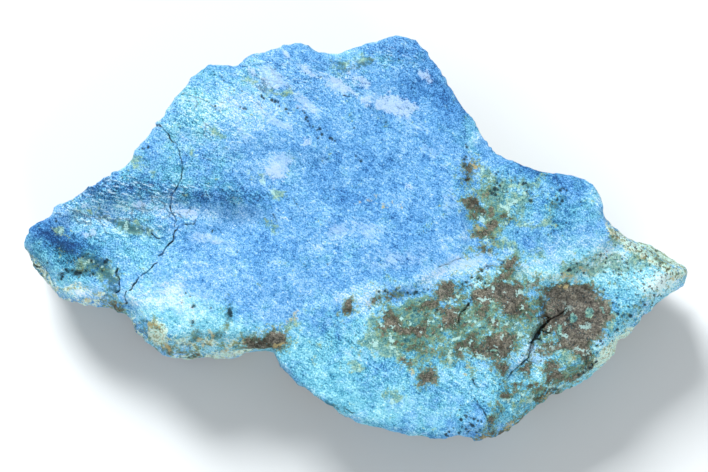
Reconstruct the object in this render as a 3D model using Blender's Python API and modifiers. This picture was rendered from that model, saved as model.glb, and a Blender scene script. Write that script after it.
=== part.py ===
"""A hand specimen of aerinite: one slab of blue vein filling broken out of its rock, lying on its underside.

Everything is in metres, +Z up. +X runs along the slab's length and +Y from its front rim to its back rim.
The slab is one piece. A flat blank is cut to the rim's outline, remeshed into an even skin, and its points are
then moved: the top gets its plate, ledges, troughs and cracks, the rim its broken bevel, the walls their
fracture and the underside its chips. The origin is on the ground, at the middle of the box round the stone.
"""

import math
from types import SimpleNamespace

import bmesh
import bpy
import numpy as np
from mathutils import Vector, noise

MM = 0.001

# Driving dimensions
FACE_LENGTH = 43.75 * MM
PLATE_HEIGHT = 7.6 * MM
PLATE_TILT_X = 0.010
PLATE_TILT_Y = 0.085
REST_FACE = 5.5 * MM
REST_FACE_EDGE = 3.0 * MM
SKIN_SPACING = 0.34 * MM
SOLID_SHARE = 0.19
PRESSED_FLAT = 0.03 * MM
WELD_DISTANCE = 0.001 * MM

# The stone's places are read off a picture of it in columns and rows. The eye is this high over the ground and
# this far from the point on the plate that it looks at.
LEFT_TIP_COLUMN = 21
RIGHT_TIP_COLUMN = 687
MIDDLE_COLUMN = 354
MIDDLE_ROW = 236
PIXEL = FACE_LENGTH / (RIGHT_TIP_COLUMN - LEFT_TIP_COLUMN)
EYE_ELEVATION = math.radians(76)
EYE_DISTANCE = 109.8 * MM
LOOKED_AT_X = -0.12 * MM
LOOKED_AT_Y = -0.42 * MM
PLACING_ROUNDS = 3

# The rim, clockwise from the left tip as seen from above. Each stretch has the width and the drop of its broken
# bevel, how far its wall leans out on the way down to the foot, how rough the bevel is, all in millimetres, and
# its corners.
RIM = {
    "left tip": {
        "bevel": (0.45, 0.90),
        "lean": -1.0,
        "rough": 0.12,
        "corners": [
            (21, 246), (22, 238), (26, 230), (33, 222), (48, 217), (51, 211), (52, 207),
        ],
    },
    "upper left edge": {
        "bevel": (0.25, 0.25),
        "lean": -0.9,
        "rough": 0.10,
        "corners": [
            (67, 198), (77, 193), (87, 186), (96, 181), (110, 173), (117, 169), (128, 160), (133, 151),
            (144, 139), (154, 127), (163, 114), (170, 105), (184, 85), (196, 73),
        ],
    },
    "back edge": {
        "bevel": (0.30, 0.30),
        "lean": -0.3,
        "rough": 0.08,
        "corners": [
            (203, 67), (211, 63), (223, 62), (232, 64), (236, 67), (240, 58), (248, 54), (262, 51),
            (274, 46), (285, 44), (300, 43), (310, 47), (320, 53), (336, 53), (343, 50), (350, 47),
            (372, 42), (380, 38), (399, 34), (410, 35), (418, 39),
        ],
    },
    "right shoulder": {
        "bevel": (0.30, 0.30),
        "lean": -0.6,
        "rough": 0.06,
        "corners": [
            (423, 45), (430, 53), (436, 62), (443, 69), (449, 80), (459, 97), (466, 109), (474, 119),
            (483, 131), (489, 140),
        ],
    },
    "right lobe": {
        "bevel": (0.35, 0.40),
        "lean": -1.2,
        "rough": 0.08,
        "corners": [
            (495, 149), (501, 154), (510, 158), (530, 164), (545, 169), (556, 172), (570, 173), (583, 177),
            (592, 183), (597, 190), (602, 198), (605, 205), (607, 211),
        ],
    },
    "speckled side": {
        "bevel": (0.85, 2.10),
        "lean": 0.5,
        "rough": 0.18,
        "corners": [
            (606, 221), (611, 225), (618, 231), (634, 242), (648, 249), (663, 256), (674, 262), (684, 266),
            (688, 270),
        ],
    },
    "lower right edge": {
        "bevel": (0.65, 1.70),
        "lean": -0.9,
        "rough": 0.16,
        "corners": [
            (687, 276), (681, 284), (670, 293), (660, 302), (650, 311), (641, 322), (630, 331), (619, 341),
            (614, 352), (608, 360), (600, 367), (590, 374), (578, 380), (567, 385), (560, 390),
        ],
    },
    "brown lip": {
        "bevel": (0.50, 1.10),
        "lean": -1.2,
        "rough": 0.20,
        "corners": [
            (552, 397), (545, 402), (534, 408), (527, 415), (520, 423), (510, 430), (498, 435), (487, 439),
            (476, 443), (472, 442), (472, 438),
        ],
    },
    "front edge": {
        "bevel": (0.25, 0.30),
        "lean": -2.0,
        "rough": 0.08,
        "corners": [
            (461, 436), (454, 439), (444, 441), (434, 440), (423, 438), (408, 436), (394, 432), (383, 429),
            (366, 424), (357, 423), (350, 420), (341, 416), (333, 409), (326, 406), (317, 403), (311, 396),
            (301, 388), (296, 383), (293, 377), (286, 372), (279, 368), (275, 361),
        ],
    },
    "broken front left": {
        "bevel": (1.15, 1.50),
        "lean": -0.9,
        "rough": 0.34,
        "corners": [
            (270, 354), (255, 354), (240, 355), (224, 355), (210, 352), (198, 353), (190, 356), (181, 359),
            (174, 358), (164, 357), (160, 352), (152, 345), (144, 340), (138, 335), (134, 329), (131, 322),
            (128, 314),
        ],
    },
    "pale shelf": {
        "bevel": (0.35, 0.80),
        "lean": -1.0,
        "rough": 0.20,
        "corners": [
            (122, 310), (114, 308), (108, 305), (96, 304), (78, 304), (64, 302), (54, 292), (48, 284),
            (43, 275), (34, 268), (31, 261), (26, 253),
        ],
    },
}

# Ledges in the top face: the ground drops on the right of the line as it runs, over the width, and comes back
# over the recovery. The ends are the lengths over which the ledge fades in and out. All in millimetres.
BROAD_LEDGES = {
    "front step": {
        "drop": 1.00, "width": 1.70, "recovery": 14.0, "ends": (0.0, 4.0),
        "line": [(22, 218), (75, 196), (120, 189), (170, 187), (215, 191), (255, 198), (300, 212)],
    },
    "left nose": {
        "drop": 1.50, "width": 5.50, "recovery": 40.0, "ends": (0.0, 0.0),
        "line": [(84, 160), (88, 215), (102, 250), (118, 290), (135, 340)],
    },
    "lobe crest": {
        "drop": 0.60, "width": 0.70, "recovery": 16.0, "ends": (2.0, 0.0),
        "line": [(490, 268), (522, 264), (545, 276), (560, 272), (578, 264), (595, 252), (612, 232)],
    },
}
FINE_LEDGES = {
    "pale shelf": {
        "drop": 0.60, "width": 0.30, "recovery": 8.0, "ends": (0.3, 0.3),
        "line": [
            (20, 244), (36, 254), (51, 265), (60, 278), (72, 281), (84, 281), (94, 286), (104, 290),
            (118, 288), (126, 298),
        ],
    },
    "plate edge": {
        "drop": 0.34, "width": 0.16, "recovery": 3.2, "ends": (2.5, 0.8),
        "line": [
            (345, 309), (372, 298), (395, 290), (418, 282), (440, 268), (455, 256), (466, 242), (465, 228),
            (463, 214), (467, 201), (474, 190), (468, 182), (465, 172), (466, 155), (468, 132),
        ],
    },
    "brown hollow": {
        "drop": 0.50, "width": 0.14, "recovery": 2.4, "ends": (1.2, 0.7),
        "line": [(503, 383), (520, 364), (529, 352), (534, 334), (541, 316), (542, 300), (547, 284)],
    },
    "upper ledge": {
        "drop": 0.16, "width": 0.14, "recovery": 4.0, "ends": (1.0, 1.0),
        "line": [(305, 70), (327, 76), (344, 78), (353, 86), (360, 95), (368, 106), (380, 114), (392, 126)],
    },
}

# Troughs across the top face, as deep and as wide as this in millimetres
TROUGHS = {
    "fibre groove": {
        "depth": 0.30, "width": 0.80,
        "line": [(86, 206), (108, 216), (122, 225), (140, 232), (160, 240)],
    },
    "green trough": {
        "depth": 0.30, "width": 1.40,
        "line": [(482, 150), (486, 190), (480, 225), (488, 262)],
    },
    "back notch": {
        "depth": 0.40, "width": 0.45,
        "line": [(236, 58), (238, 70), (252, 84), (272, 97)],
    },
    "facet dip": {
        "depth": 0.25, "width": 1.80,
        "line": [(560, 262), (590, 284), (625, 300)],
    },
}

# Cracks, cut as narrow grooves
CRACK_WIDTH = 0.17
CRACK_DEPTH = 0.34
CRACK_ENDS = (0.4, 0.4)
CRACK_REACH = 0.42 * MM
CRACK_LEAST_HEIGHT = PLATE_HEIGHT / 4
CRACKS = {
    "long crack, upper part": [
        (156, 126), (163, 129), (169, 135), (176, 143), (179, 151), (181, 160), (183, 169), (181, 180),
        (177, 189), (172, 195), (171, 209), (175, 220), (176, 225),
    ],
    "long crack, lower part": [
        (179, 226), (175, 234), (173, 240), (161, 254), (157, 262), (150, 269), (142, 275), (138, 280),
        (129, 290), (126, 293), (125, 299), (127, 303), (122, 310),
    ],
    "short crack": [(117, 268), (117, 275), (119, 283), (119, 291), (110, 297)],
    "brown crack": [
        (568, 305), (556, 314), (545, 323), (538, 335), (533, 346), (527, 356), (518, 366), (506, 380),
    ],
    "front crack": [(471, 378), (475, 385), (478, 400), (484, 410), (489, 420), (491, 432)],
    "green crack": [(470, 303), (462, 312), (460, 324)],
    "lobe crack": [(556, 170), (558, 178), (559, 186)],
}

# Low domes (positive) and dishes (negative) of the top face: middle, half widths and height in millimetres
DOMES = {
    "left shoulder": {"middle": (225, 112), "half": (6.5, 3.6), "height": 0.55},
    "fibre ridge": {"middle": (150, 218), "half": (3.6, 0.9), "height": 0.28},
    "apron": {"middle": (205, 285), "half": (4.5, 2.2), "height": 0.35},
    "plate dish": {"middle": (345, 190), "half": (7.0, 4.5), "height": -0.20},
    "lobe": {"middle": (560, 213), "half": (2.9, 2.3), "height": 0.50},
    "dark basin": {"middle": (90, 268), "half": (2.4, 0.9), "height": -0.40},
    "brown hollow": {"middle": (580, 318), "half": (2.3, 1.9), "height": -0.30},
    "rising corner": {"middle": (405, 60), "half": (3.2, 2.0), "height": 0.30},
    "front belly": {"middle": (400, 385), "half": (6.0, 2.5), "height": 0.30},
}

# Roughness: how high it stands and how large its swells or broken faces are, in millimetres, and its seed
TOP_SWELL = (0.24, 6.0, 3)
TOP_GRIT = (0.10, 1.3, 4)
WALL_LUMPS = (0.45, 5.0, 1)
WALL_FACES = (0.75, 3.4, 2)
FOOT_SWELL = (0.30, 5.0, 5)
FOOT_FACES = (1.60, 8.0, 6)
FOOT_CHIPS = (0.90, 2.8, 8)

# Crumbs on the bevel, for a roughness of one millimetre, and how many bevel widths they reach inside the rim
BEVEL_CRUMBS = (1.0, 0.9, 7)
CRUMB_REACH = 2.0

# The underside's faces are pressed this far into the ground, so that most of it rests, and it rises towards the
# rim by this height, which dies out this far inside
FOOT_SINK = 0.10 * MM
FOOT_RISE = 1.10 * MM
FOOT_RISE_REACH = 1.50 * MM

# How the walls are shaped: their broken faces lie flat like the slab, fade in below the rim and stop this far
# inside it, and their lean dies out this far inside the rim
PLATY = 1.2
FRACTURE_REACH = 1.2
FRACTURE_START = 0.25
LEAN_REACH = 3.2

# The part of the skin that is evened out: this far inside the rim, above this share of the height, so many
# times. It draws the rim in by the loss, which the walls make up for.
SOFT_RIM = 1.1 * MM
SOFT_SHARE = 0.3
SOFT_ROUNDS = 3
SOFT_FACTOR = 0.5
SOFT_LOSS = 0.06 * MM

# How noise is drawn: detail of the swells, sharpness of the steps between broken faces, spread of their tilts
SWELL_ROUGHNESS = 0.9
SWELL_LACUNARITY = 2.1
SWELL_OCTAVES = 4
STEP_SHARPNESS = 10.0
TILT_SPREAD = 37.0
CELL_MIDDLE = Vector((0.5, 0.5, 0.5))


def smooth(share):
    """0 below 0, 1 above 1, and an S curve between."""
    share = np.clip(share, 0.0, 1.0)
    return share * share * (3.0 - 2.0 * share)


def placed(corners, below=0.0):
    """The plan points, in metres, where the sight lines through columns and rows meet the plate's plane.

    below is how far under that plane the surface lies, in millimetres.
    """
    corners = np.array(corners, dtype=float)
    looked_at = np.array([LOOKED_AT_X, LOOKED_AT_Y, PLATE_HEIGHT])
    ahead = np.array([0.0, math.cos(EYE_ELEVATION), -math.sin(EYE_ELEVATION)])
    upward = np.array([0.0, math.sin(EYE_ELEVATION), math.cos(EYE_ELEVATION)])
    eye = looked_at - EYE_DISTANCE * ahead
    focal = EYE_DISTANCE / PIXEL
    sight = ahead + np.outer((MIDDLE_ROW - corners[:, 1]) / focal, upward)
    sight[:, 0] += (corners[:, 0] - MIDDLE_COLUMN) / focal
    tilt = np.array([PLATE_TILT_X, PLATE_TILT_Y, 0.0])
    level = PLATE_HEIGHT - np.asarray(below) * MM
    reach = (level + tilt @ eye - eye[2]) / (sight[:, 2] - sight @ tilt)
    return (eye + reach[:, None] * sight)[:, :2]


def nearest(points, line, closed=False):
    """Where plan points lie beside a polyline.

    distance to it, side (+1 on its right), run and share (which stretch of the line is nearest, and how far
    along that stretch), start and end (the lengths from the line's start and to its end).
    """
    ends = np.roll(line, -1, axis=0) if closed else line[1:]
    starts = line if closed else line[:-1]
    near = SimpleNamespace(distance=np.full(len(points), np.inf))
    near.side, near.share, near.start = (np.zeros(len(points)) for _ in range(3))
    near.run = np.zeros(len(points), dtype=int)
    gone = 0.0
    for number, (start, end) in enumerate(zip(starts, ends)):
        run = end - start
        length = float(np.hypot(*run))
        share = np.clip((points - start) @ run / length**2, 0.0, 1.0)
        offset = points - start - share[:, None] * run
        distance = np.hypot(offset[:, 0], offset[:, 1])
        closer = distance < near.distance
        right = run[1] * (points[:, 0] - start[0]) - run[0] * (points[:, 1] - start[1])
        near.distance = np.where(closer, distance, near.distance)
        near.side = np.where(closer, np.sign(right), near.side)
        near.run = np.where(closer, number, near.run)
        near.share = np.where(closer, share, near.share)
        near.start = np.where(closer, gone + share * length, near.start)
        gone += length
    near.end = gone - near.start
    return near


def fades(near, ends):
    """1 in the middle of a line and 0 at its ends, over the two lengths given in millimetres."""
    share = np.ones(len(near.start))
    for length, gone in zip(ends, (near.start, near.end)):
        if length > 0:
            share *= smooth(gone / (length * MM))
    return share


def ledge_drop(plan, ledge, line):
    """How far a ledge lowers plan points, in metres."""
    near = nearest(plan, line)
    step = smooth(near.side * near.distance / (ledge["width"] * MM))
    back = np.exp(-near.distance / (ledge["recovery"] * MM))
    return ledge["drop"] * MM * step * back * fades(near, ledge["ends"])


def broad_relief(plan):
    """The top face's large forms, in metres over the plate's plane: its domes, dishes and broad ledges."""
    height = np.zeros(len(plan))
    for ledge in BROAD_LEDGES.values():
        height -= ledge_drop(plan, ledge, placed(ledge["line"]))
    for dome in DOMES.values():
        offset = (plan - placed([dome["middle"]])) / (np.array(dome["half"]) * MM)
        height += dome["height"] * MM * np.exp(-(offset**2).sum(axis=1))
    return height


def seen(corners, below=0.0):
    """Columns and rows as plan points on the large forms, or this many millimetres below them."""
    plan = placed(corners, below)
    for _ in range(PLACING_ROUNDS):
        plan = placed(corners, below - broad_relief(plan) / MM)
    return plan


def fine_relief(plan):
    """The top face's narrow ledges, troughs and cracks, in metres over its large forms."""
    height = np.zeros(len(plan))
    for ledge in FINE_LEDGES.values():
        height -= ledge_drop(plan, ledge, seen(ledge["line"]))
    for trough in TROUGHS.values():
        near = nearest(plan, seen(trough["line"]))
        height -= trough["depth"] * MM * np.exp(-((near.distance / (trough["width"] * MM)) ** 2))
    for line in CRACKS.values():
        near = nearest(plan, seen(line))
        groove = 1.0 - smooth(near.distance / (CRACK_WIDTH * MM))
        height -= CRACK_DEPTH * MM * groove * fades(near, CRACK_ENDS)
    return height


def rim_outline():
    """The rim's corners as plan points, and each one's bevel width, bevel drop, lean and roughness in metres."""
    corners, values = [], []
    for stretch in RIM.values():
        width, drop = stretch["bevel"]
        corners.extend(seen(stretch["corners"], drop))
        values.extend([(width, drop, stretch["lean"], stretch["rough"])] * len(stretch["corners"]))
    return np.array(corners), np.array(values) * MM


def swell(points, height, size, seed):
    """Fractal noise in metres, this high and with its largest swells this wide, both in millimetres."""
    scale = 1.0 / (size * MM)
    shift = Vector((7.3, 3.1, 5.7)) * seed
    detail = (SWELL_ROUGHNESS, SWELL_LACUNARITY, SWELL_OCTAVES)
    values = [noise.fractal(Vector(point) * scale + shift, *detail) for point in points]
    return height * MM * np.array(values)


def broken_faces(points, height, size, seed):
    """Broken faces in metres: small planes, each with its own tilt, and short steps where they meet."""
    scale = 1.0 / (size * MM)
    shift = Vector((5.1, 2.7, 8.3)) * seed
    values = []
    for point in points:
        spot = Vector(point) * scale + shift
        distances, middles = noise.voronoi(spot)
        weights = [math.exp(STEP_SHARPNESS * (distances[0] - distance)) for distance in distances]
        tilts = [(noise.cell_vector(middle * TILT_SPREAD) - CELL_MIDDLE).normalized() for middle in middles]
        heights = [(spot - middle).dot(tilt) for middle, tilt in zip(middles, tilts)]
        values.append(sum(w * h for w, h in zip(weights, heights)) / sum(weights))
    return height * MM * np.array(values)


def blank(outline):
    """The slab as a flat blank of the rim's outline, remeshed into an even skin."""
    curve = bpy.data.curves.new("blank", "CURVE")
    curve.dimensions = "2D"
    curve.fill_mode = "BOTH"
    curve.extrude = PLATE_HEIGHT / 2
    spline = curve.splines.new("POLY")
    spline.points.add(len(outline) - 1)
    for point, (x, y) in zip(spline.points, outline):
        point.co = (x, y, 0.0, 1.0)
    spline.use_cyclic_u = True
    flat = bpy.data.objects.new("blank", curve)
    bpy.context.scene.collection.objects.link(flat)
    mesh = bpy.data.meshes.new_from_object(flat.evaluated_get(bpy.context.evaluated_depsgraph_get()))
    bpy.data.objects.remove(flat)
    edit = bmesh.new()
    edit.from_mesh(mesh)
    bmesh.ops.remove_doubles(edit, verts=edit.verts, dist=WELD_DISTANCE)
    bmesh.ops.recalc_face_normals(edit, faces=edit.faces)
    edit.to_mesh(mesh)
    edit.free()
    skin = bpy.data.objects.new("skin", mesh)
    bpy.context.scene.collection.objects.link(skin)
    remesh = skin.modifiers.new("even skin", "REMESH")
    remesh.mode = "VOXEL"
    remesh.voxel_size = SKIN_SPACING
    bpy.context.view_layer.update()
    even = bpy.data.meshes.new_from_object(skin.evaluated_get(bpy.context.evaluated_depsgraph_get()))
    bpy.data.objects.remove(skin)
    return even


def refine_cracks(mesh):
    """Splits the top face's edges beside the cracks, so that a narrow groove has points to be cut from."""
    edit = bmesh.new()
    edit.from_mesh(mesh)
    middles = np.array([(edge.verts[0].co + edge.verts[1].co) / 2 for edge in edit.edges])
    closest = np.full(len(middles), np.inf)
    for line in CRACKS.values():
        closest = np.minimum(closest, nearest(middles[:, :2], seen(line)).distance)
    chosen = (closest < CRACK_REACH) & (middles[:, 2] > CRACK_LEAST_HEIGHT)
    edges = [edge for edge, wanted in zip(edit.edges, chosen) if wanted]
    bmesh.ops.subdivide_edges(edit, edges=edges, cuts=1, use_grid_fill=True)
    bmesh.ops.triangulate(edit, faces=edit.faces)
    edit.to_mesh(mesh)
    edit.free()


def beside_rim(plan, outline, values):
    """How far inside the rim plan points are, which way is out there, and the rim's own values there."""
    near = nearest(plan, outline, closed=True)
    onward = (near.run + 1) % len(outline)
    share = near.share[:, None]
    runs = np.roll(outline, -1, axis=0) - np.roll(outline, 1, axis=0)
    normals = np.stack([-runs[:, 1], runs[:, 0]], axis=1)
    normals /= np.linalg.norm(normals, axis=1)[:, None]
    outward = normals[near.run] * (1 - share) + normals[onward] * share
    here = values[near.run] * (1 - share) + values[onward] * share
    return near.distance, outward, here.T


def shape_walls(points, share, inside, outward, lean):
    """How far the walls' points move along the outward direction: their lean, lumps and broken faces."""
    platy = points * np.array([1.0, 1.0, PLATY])
    lumps = swell(platy, *WALL_LUMPS) + broken_faces(platy, *WALL_FACES)
    fracture = smooth(1.0 - inside / (FRACTURE_REACH * MM)) * smooth((1.0 - share) / FRACTURE_START)
    reach = np.exp(-inside / (LEAN_REACH * MM))
    shift = (lean * (1.0 - share) + SOFT_LOSS) * reach + lumps * fracture
    return outward * shift[:, None]


def shape_top(plan, inside, bevel_width, bevel_drop, rough):
    """The height of the top face over plan points, with the broken bevel along the rim."""
    flat = np.column_stack([plan, np.zeros(len(plan))])
    top = PLATE_HEIGHT + PLATE_TILT_X * plan[:, 0] + PLATE_TILT_Y * plan[:, 1]
    top += broad_relief(plan) + fine_relief(plan)
    top += swell(flat, *TOP_SWELL) + swell(flat, *TOP_GRIT)
    top -= bevel_drop * smooth(1.0 - inside / bevel_width)
    crumbs = rough / MM * swell(flat, *BEVEL_CRUMBS)
    return top + crumbs * smooth(1.0 - inside / (CRUMB_REACH * bevel_width))


def shape_foot(plan, inside):
    """The height of the underside over plan points: flat where it rests, chipped up towards the rim."""
    flat = np.column_stack([plan, np.zeros(len(plan))])
    foot = swell(flat, *FOOT_SWELL) + broken_faces(flat, *FOOT_FACES) - FOOT_SINK
    foot += (FOOT_RISE + broken_faces(flat, *FOOT_CHIPS)) * np.exp(-inside / FOOT_RISE_REACH)
    from_middle = np.hypot(plan[:, 0], plan[:, 1])
    return np.maximum(foot, 0.0) * smooth((from_middle - REST_FACE) / REST_FACE_EDGE)


def shape_slab(mesh, outline, values):
    """Moves the blank's points to the stone's top face, bevel, walls and underside."""
    points = np.empty(len(mesh.vertices) * 3, np.float32)
    mesh.vertices.foreach_get("co", points)
    points = points.reshape(-1, 3).astype(np.float64)
    share = np.clip(points[:, 2] / PLATE_HEIGHT + 0.5, 0.0, 1.0)
    inside, outward, (bevel_width, bevel_drop, lean, rough) = beside_rim(points[:, :2], outline, values)
    plan = points[:, :2] + shape_walls(points, share, inside, outward, lean)
    top = shape_top(plan, inside, bevel_width, bevel_drop, rough)
    foot = shape_foot(plan, inside)
    height = foot + (top - foot) * share
    mesh.vertices.foreach_set("co", np.column_stack([plan, height]).astype(np.float32).ravel())
    mesh.update()
    soften(mesh, np.flatnonzero((inside < SOFT_RIM) & (share > SOFT_SHARE)))


def soften(mesh, chosen):
    """Evens out the chosen points, so that the skin's own squares leave no teeth along the broken bevel."""
    edit = bmesh.new()
    edit.from_mesh(mesh)
    edit.verts.ensure_lookup_table()
    for _ in range(SOFT_ROUNDS):
        bmesh.ops.smooth_vert(
            edit, verts=[edit.verts[number] for number in chosen], factor=SOFT_FACTOR,
            use_axis_x=True, use_axis_y=True, use_axis_z=True,
        )
    edit.to_mesh(mesh)
    edit.free()


def fewer_faces(stone):
    """The stone's mesh with large faces where it is flat, and what all but touches the ground pressed flat."""
    fewer = stone.modifiers.new("fewer faces", "DECIMATE")
    fewer.ratio = SOLID_SHARE
    bpy.context.view_layer.update()
    mesh = bpy.data.meshes.new_from_object(stone.evaluated_get(bpy.context.evaluated_depsgraph_get()))
    stone.modifiers.remove(fewer)
    for point in mesh.vertices:
        if point.co.z < PRESSED_FLAT:
            point.co.z = 0.0
    return mesh


def stone_material():
    """The blue stone's plain finish."""
    material = bpy.data.materials.new("aerinite blue")
    material.use_nodes = True
    shader = material.node_tree.nodes["Principled BSDF"]
    shader.inputs["Base Color"].default_value = (0.16, 0.38, 0.66, 1.0)
    shader.inputs["Roughness"].default_value = 0.75
    shader.inputs["Metallic"].default_value = 0.0
    return material


def make_stone():
    """The slab, as one object in its own collection."""
    outline, values = rim_outline()
    mesh = blank(outline)
    refine_cracks(mesh)
    shape_slab(mesh, outline, values)
    stone = bpy.data.objects.new("aerinite_slab", mesh)
    collection = bpy.data.collections.new("aerinite")
    bpy.context.scene.collection.children.link(collection)
    collection.objects.link(stone)
    stone.data = fewer_faces(stone)
    stone.data.name = "aerinite_slab"
    stone.data.materials.append(stone_material())
    bpy.data.meshes.remove(mesh)


def main():
    for old in list(bpy.data.objects):
        bpy.data.objects.remove(old)
    make_stone()


main()
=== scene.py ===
# %% [markdown]
# # A hand specimen of aerinite
#
# Aerinite is a soft blue mineral that fills thin veins in dark rock. This piece is one slab of such a vein:
# a broad blue face, thin broken walls and a rough underside. The solid's size and main forms come packed,
# as one fixed node, and this script only dresses it. It keeps the box round the imported solid, and no point
# of the dressed stone may leave it.

# %% The tools and the imported frame
import math

import bmesh
import bpy
import numpy as np
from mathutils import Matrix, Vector, noise
from mathutils.bvhtree import BVHTree


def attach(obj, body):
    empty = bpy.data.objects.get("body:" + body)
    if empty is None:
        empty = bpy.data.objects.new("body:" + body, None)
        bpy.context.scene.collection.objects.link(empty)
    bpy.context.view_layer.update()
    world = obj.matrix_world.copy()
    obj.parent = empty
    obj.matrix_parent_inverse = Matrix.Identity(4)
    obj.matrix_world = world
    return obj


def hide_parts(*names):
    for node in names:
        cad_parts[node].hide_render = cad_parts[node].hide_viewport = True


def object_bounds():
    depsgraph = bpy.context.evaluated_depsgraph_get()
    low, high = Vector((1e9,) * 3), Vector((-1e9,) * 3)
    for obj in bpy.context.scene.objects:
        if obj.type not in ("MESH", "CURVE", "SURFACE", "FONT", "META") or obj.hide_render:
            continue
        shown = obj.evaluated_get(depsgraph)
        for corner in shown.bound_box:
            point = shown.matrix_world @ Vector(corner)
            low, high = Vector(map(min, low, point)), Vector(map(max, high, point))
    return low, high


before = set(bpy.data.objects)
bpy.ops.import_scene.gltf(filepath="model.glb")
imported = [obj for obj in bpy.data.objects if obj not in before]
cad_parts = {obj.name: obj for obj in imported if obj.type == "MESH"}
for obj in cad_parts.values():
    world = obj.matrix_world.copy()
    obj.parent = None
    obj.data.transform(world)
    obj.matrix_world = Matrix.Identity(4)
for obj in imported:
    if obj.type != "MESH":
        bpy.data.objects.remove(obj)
MM = 0.001
solid_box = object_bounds()
print("packed solid, mm:", [[round(side / MM, 2) for side in corner] for corner in solid_box])

# %% [markdown]
# # The eye
#
# The slab lies flat and the eye looks down on it steeply, a hand's breadth away. Its place follows from
# three things: the height of the line of sight, the length of the slab between its two tips, and the width
# of the picture that this length fills. The same numbers later turn any point of the stone into a column
# and a row, so that each mark can be put where it is seen. Python does this, not the material, because a
# material that looked through the camera would slide over the stone in every other view.

# %% The camera and its sight lines
PICTURE_WIDTH = 708
MIDDLE_COLUMN = 354
MIDDLE_ROW = 236
FACE_LENGTH = 43.75 * MM
FACE_COLUMNS = 666
PIXEL = FACE_LENGTH / FACE_COLUMNS
EYE_ELEVATION = math.radians(76)
EYE_DISTANCE = 109.8 * MM
LOOKED_AT = np.array([-0.12, -0.42, 7.6]) * MM
SENSOR_WIDTH = 36.0

AHEAD = np.array([0.0, math.cos(EYE_ELEVATION), -math.sin(EYE_ELEVATION)])
UPWARD = np.array([0.0, math.sin(EYE_ELEVATION), math.cos(EYE_ELEVATION)])
EYE = LOOKED_AT - EYE_DISTANCE * AHEAD
FOCAL = EYE_DISTANCE / PIXEL


def seen_at(places):
    """The column and the row at which each place is seen."""
    offset = places - EYE
    depth = offset @ AHEAD
    return MIDDLE_COLUMN + FOCAL * offset[:, 0] / depth, MIDDLE_ROW - FOCAL * (offset @ UPWARD) / depth


camera_data = bpy.data.cameras.new("camera")
camera_data.sensor_width = SENSOR_WIDTH
camera_data.lens = SENSOR_WIDTH * FOCAL / PICTURE_WIDTH
camera_data.clip_start = 0.01
camera_data.clip_end = 20.0
camera = bpy.data.objects.new("camera", camera_data)
camera.location = EYE
camera.rotation_euler = (math.pi / 2 - EYE_ELEVATION, 0.0, 0.0)
bpy.context.scene.collection.objects.link(camera)
bpy.context.scene.camera = camera
print("lens, mm:", round(camera_data.lens, 2), "one pixel on the stone, mm:", round(PIXEL / MM, 4))

# %% [markdown]
# # An even skin
#
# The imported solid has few, large faces. Fine relief needs small and even ones, so a copy of it is remeshed
# with voxels, which gives a skin of equal squares all round. A sculptor would do the same before adding
# detail. The squares on the broad face are then cut in four, because that is where the eye is closest, and
# the walls and the underside keep the larger ones. A little smoothing takes the solid's own facets away.

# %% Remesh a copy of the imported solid
NODE = "aerinite_slab"
SKIN = 0.30 * MM
SMOOTH_ROUNDS = 2
SMOOTH_FACING = 0.80

stone_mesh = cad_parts[NODE].data.copy()
stone_mesh.name = "aerinite_stone"
stone_mesh.materials.clear()
stone = bpy.data.objects.new("aerinite_stone", stone_mesh)
bpy.context.scene.collection.objects.link(stone)
remesh = stone.modifiers.new("skin", "REMESH")
remesh.mode = "VOXEL"
remesh.voxel_size = SKIN
graph = bpy.context.evaluated_depsgraph_get()
skin = bpy.data.meshes.new_from_object(stone.evaluated_get(graph))
stone.modifiers.clear()
stone.data = skin
print("even skin:", len(skin.vertices), "points,", len(skin.polygons), "faces")

# %% Points as arrays


def places_of(mesh):
    """A mesh's points as an array of rows, in metres."""
    values = np.zeros(len(mesh.vertices) * 3)
    mesh.vertices.foreach_get("co", values)
    return values.reshape(-1, 3)


def normals_of(mesh):
    """The direction that each point of a mesh faces."""
    values = np.zeros(len(mesh.vertices) * 3)
    mesh.vertices.foreach_get("normal", values)
    return values.reshape(-1, 3)


def smooth_step(low, high, values):
    """0 below low, 1 above high, and an S curve between them."""
    share = np.clip((values - low) / (high - low), 0.0, 1.0)
    return share * share * (3.0 - 2.0 * share)


def refine(mesh, chosen, rounds):
    """Cut the faces whose points are all chosen in four, then even out the points that face the eye."""
    sheet = bmesh.new()
    sheet.from_mesh(mesh)
    sheet.verts.ensure_lookup_table()
    edges = [e for e in sheet.edges if chosen[e.verts[0].index] and chosen[e.verts[1].index]]
    bmesh.ops.subdivide_edges(sheet, edges=edges, cuts=1, use_grid_fill=True)
    sheet.normal_update()
    ahead = Vector(AHEAD)
    inside = [v for v in sheet.verts if -v.normal.dot(ahead) > SMOOTH_FACING]
    for _ in range(rounds):
        bmesh.ops.smooth_vert(
            sheet, verts=inside, factor=0.5, use_axis_x=True, use_axis_y=True, use_axis_z=True
        )
    sheet.to_mesh(mesh)
    sheet.free()


# %% [markdown]
# # Marks, told as strokes and areas
#
# The face is a map of stains: whitish films, brown crusts, green breath, black grains and thin cracks. Each
# mark is written down once, as a maker would sketch it over a print: a stroke is a line of points with a
# half width at each, and an area is a closed outline. For each kind of mark the script measures how far
# every point of the stone lies inside it, in millimetres. That distance is stored on the stone itself, and
# the material later roughens its edge with noise, which gives the lacy borders of a real crust. An image
# pasted on would be quicker, but it would carry the light of one picture and would smear down the walls.

# %% Measure points against strokes and areas
FAR = 1.6
REACH = FAR * MM / PIXEL


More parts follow.
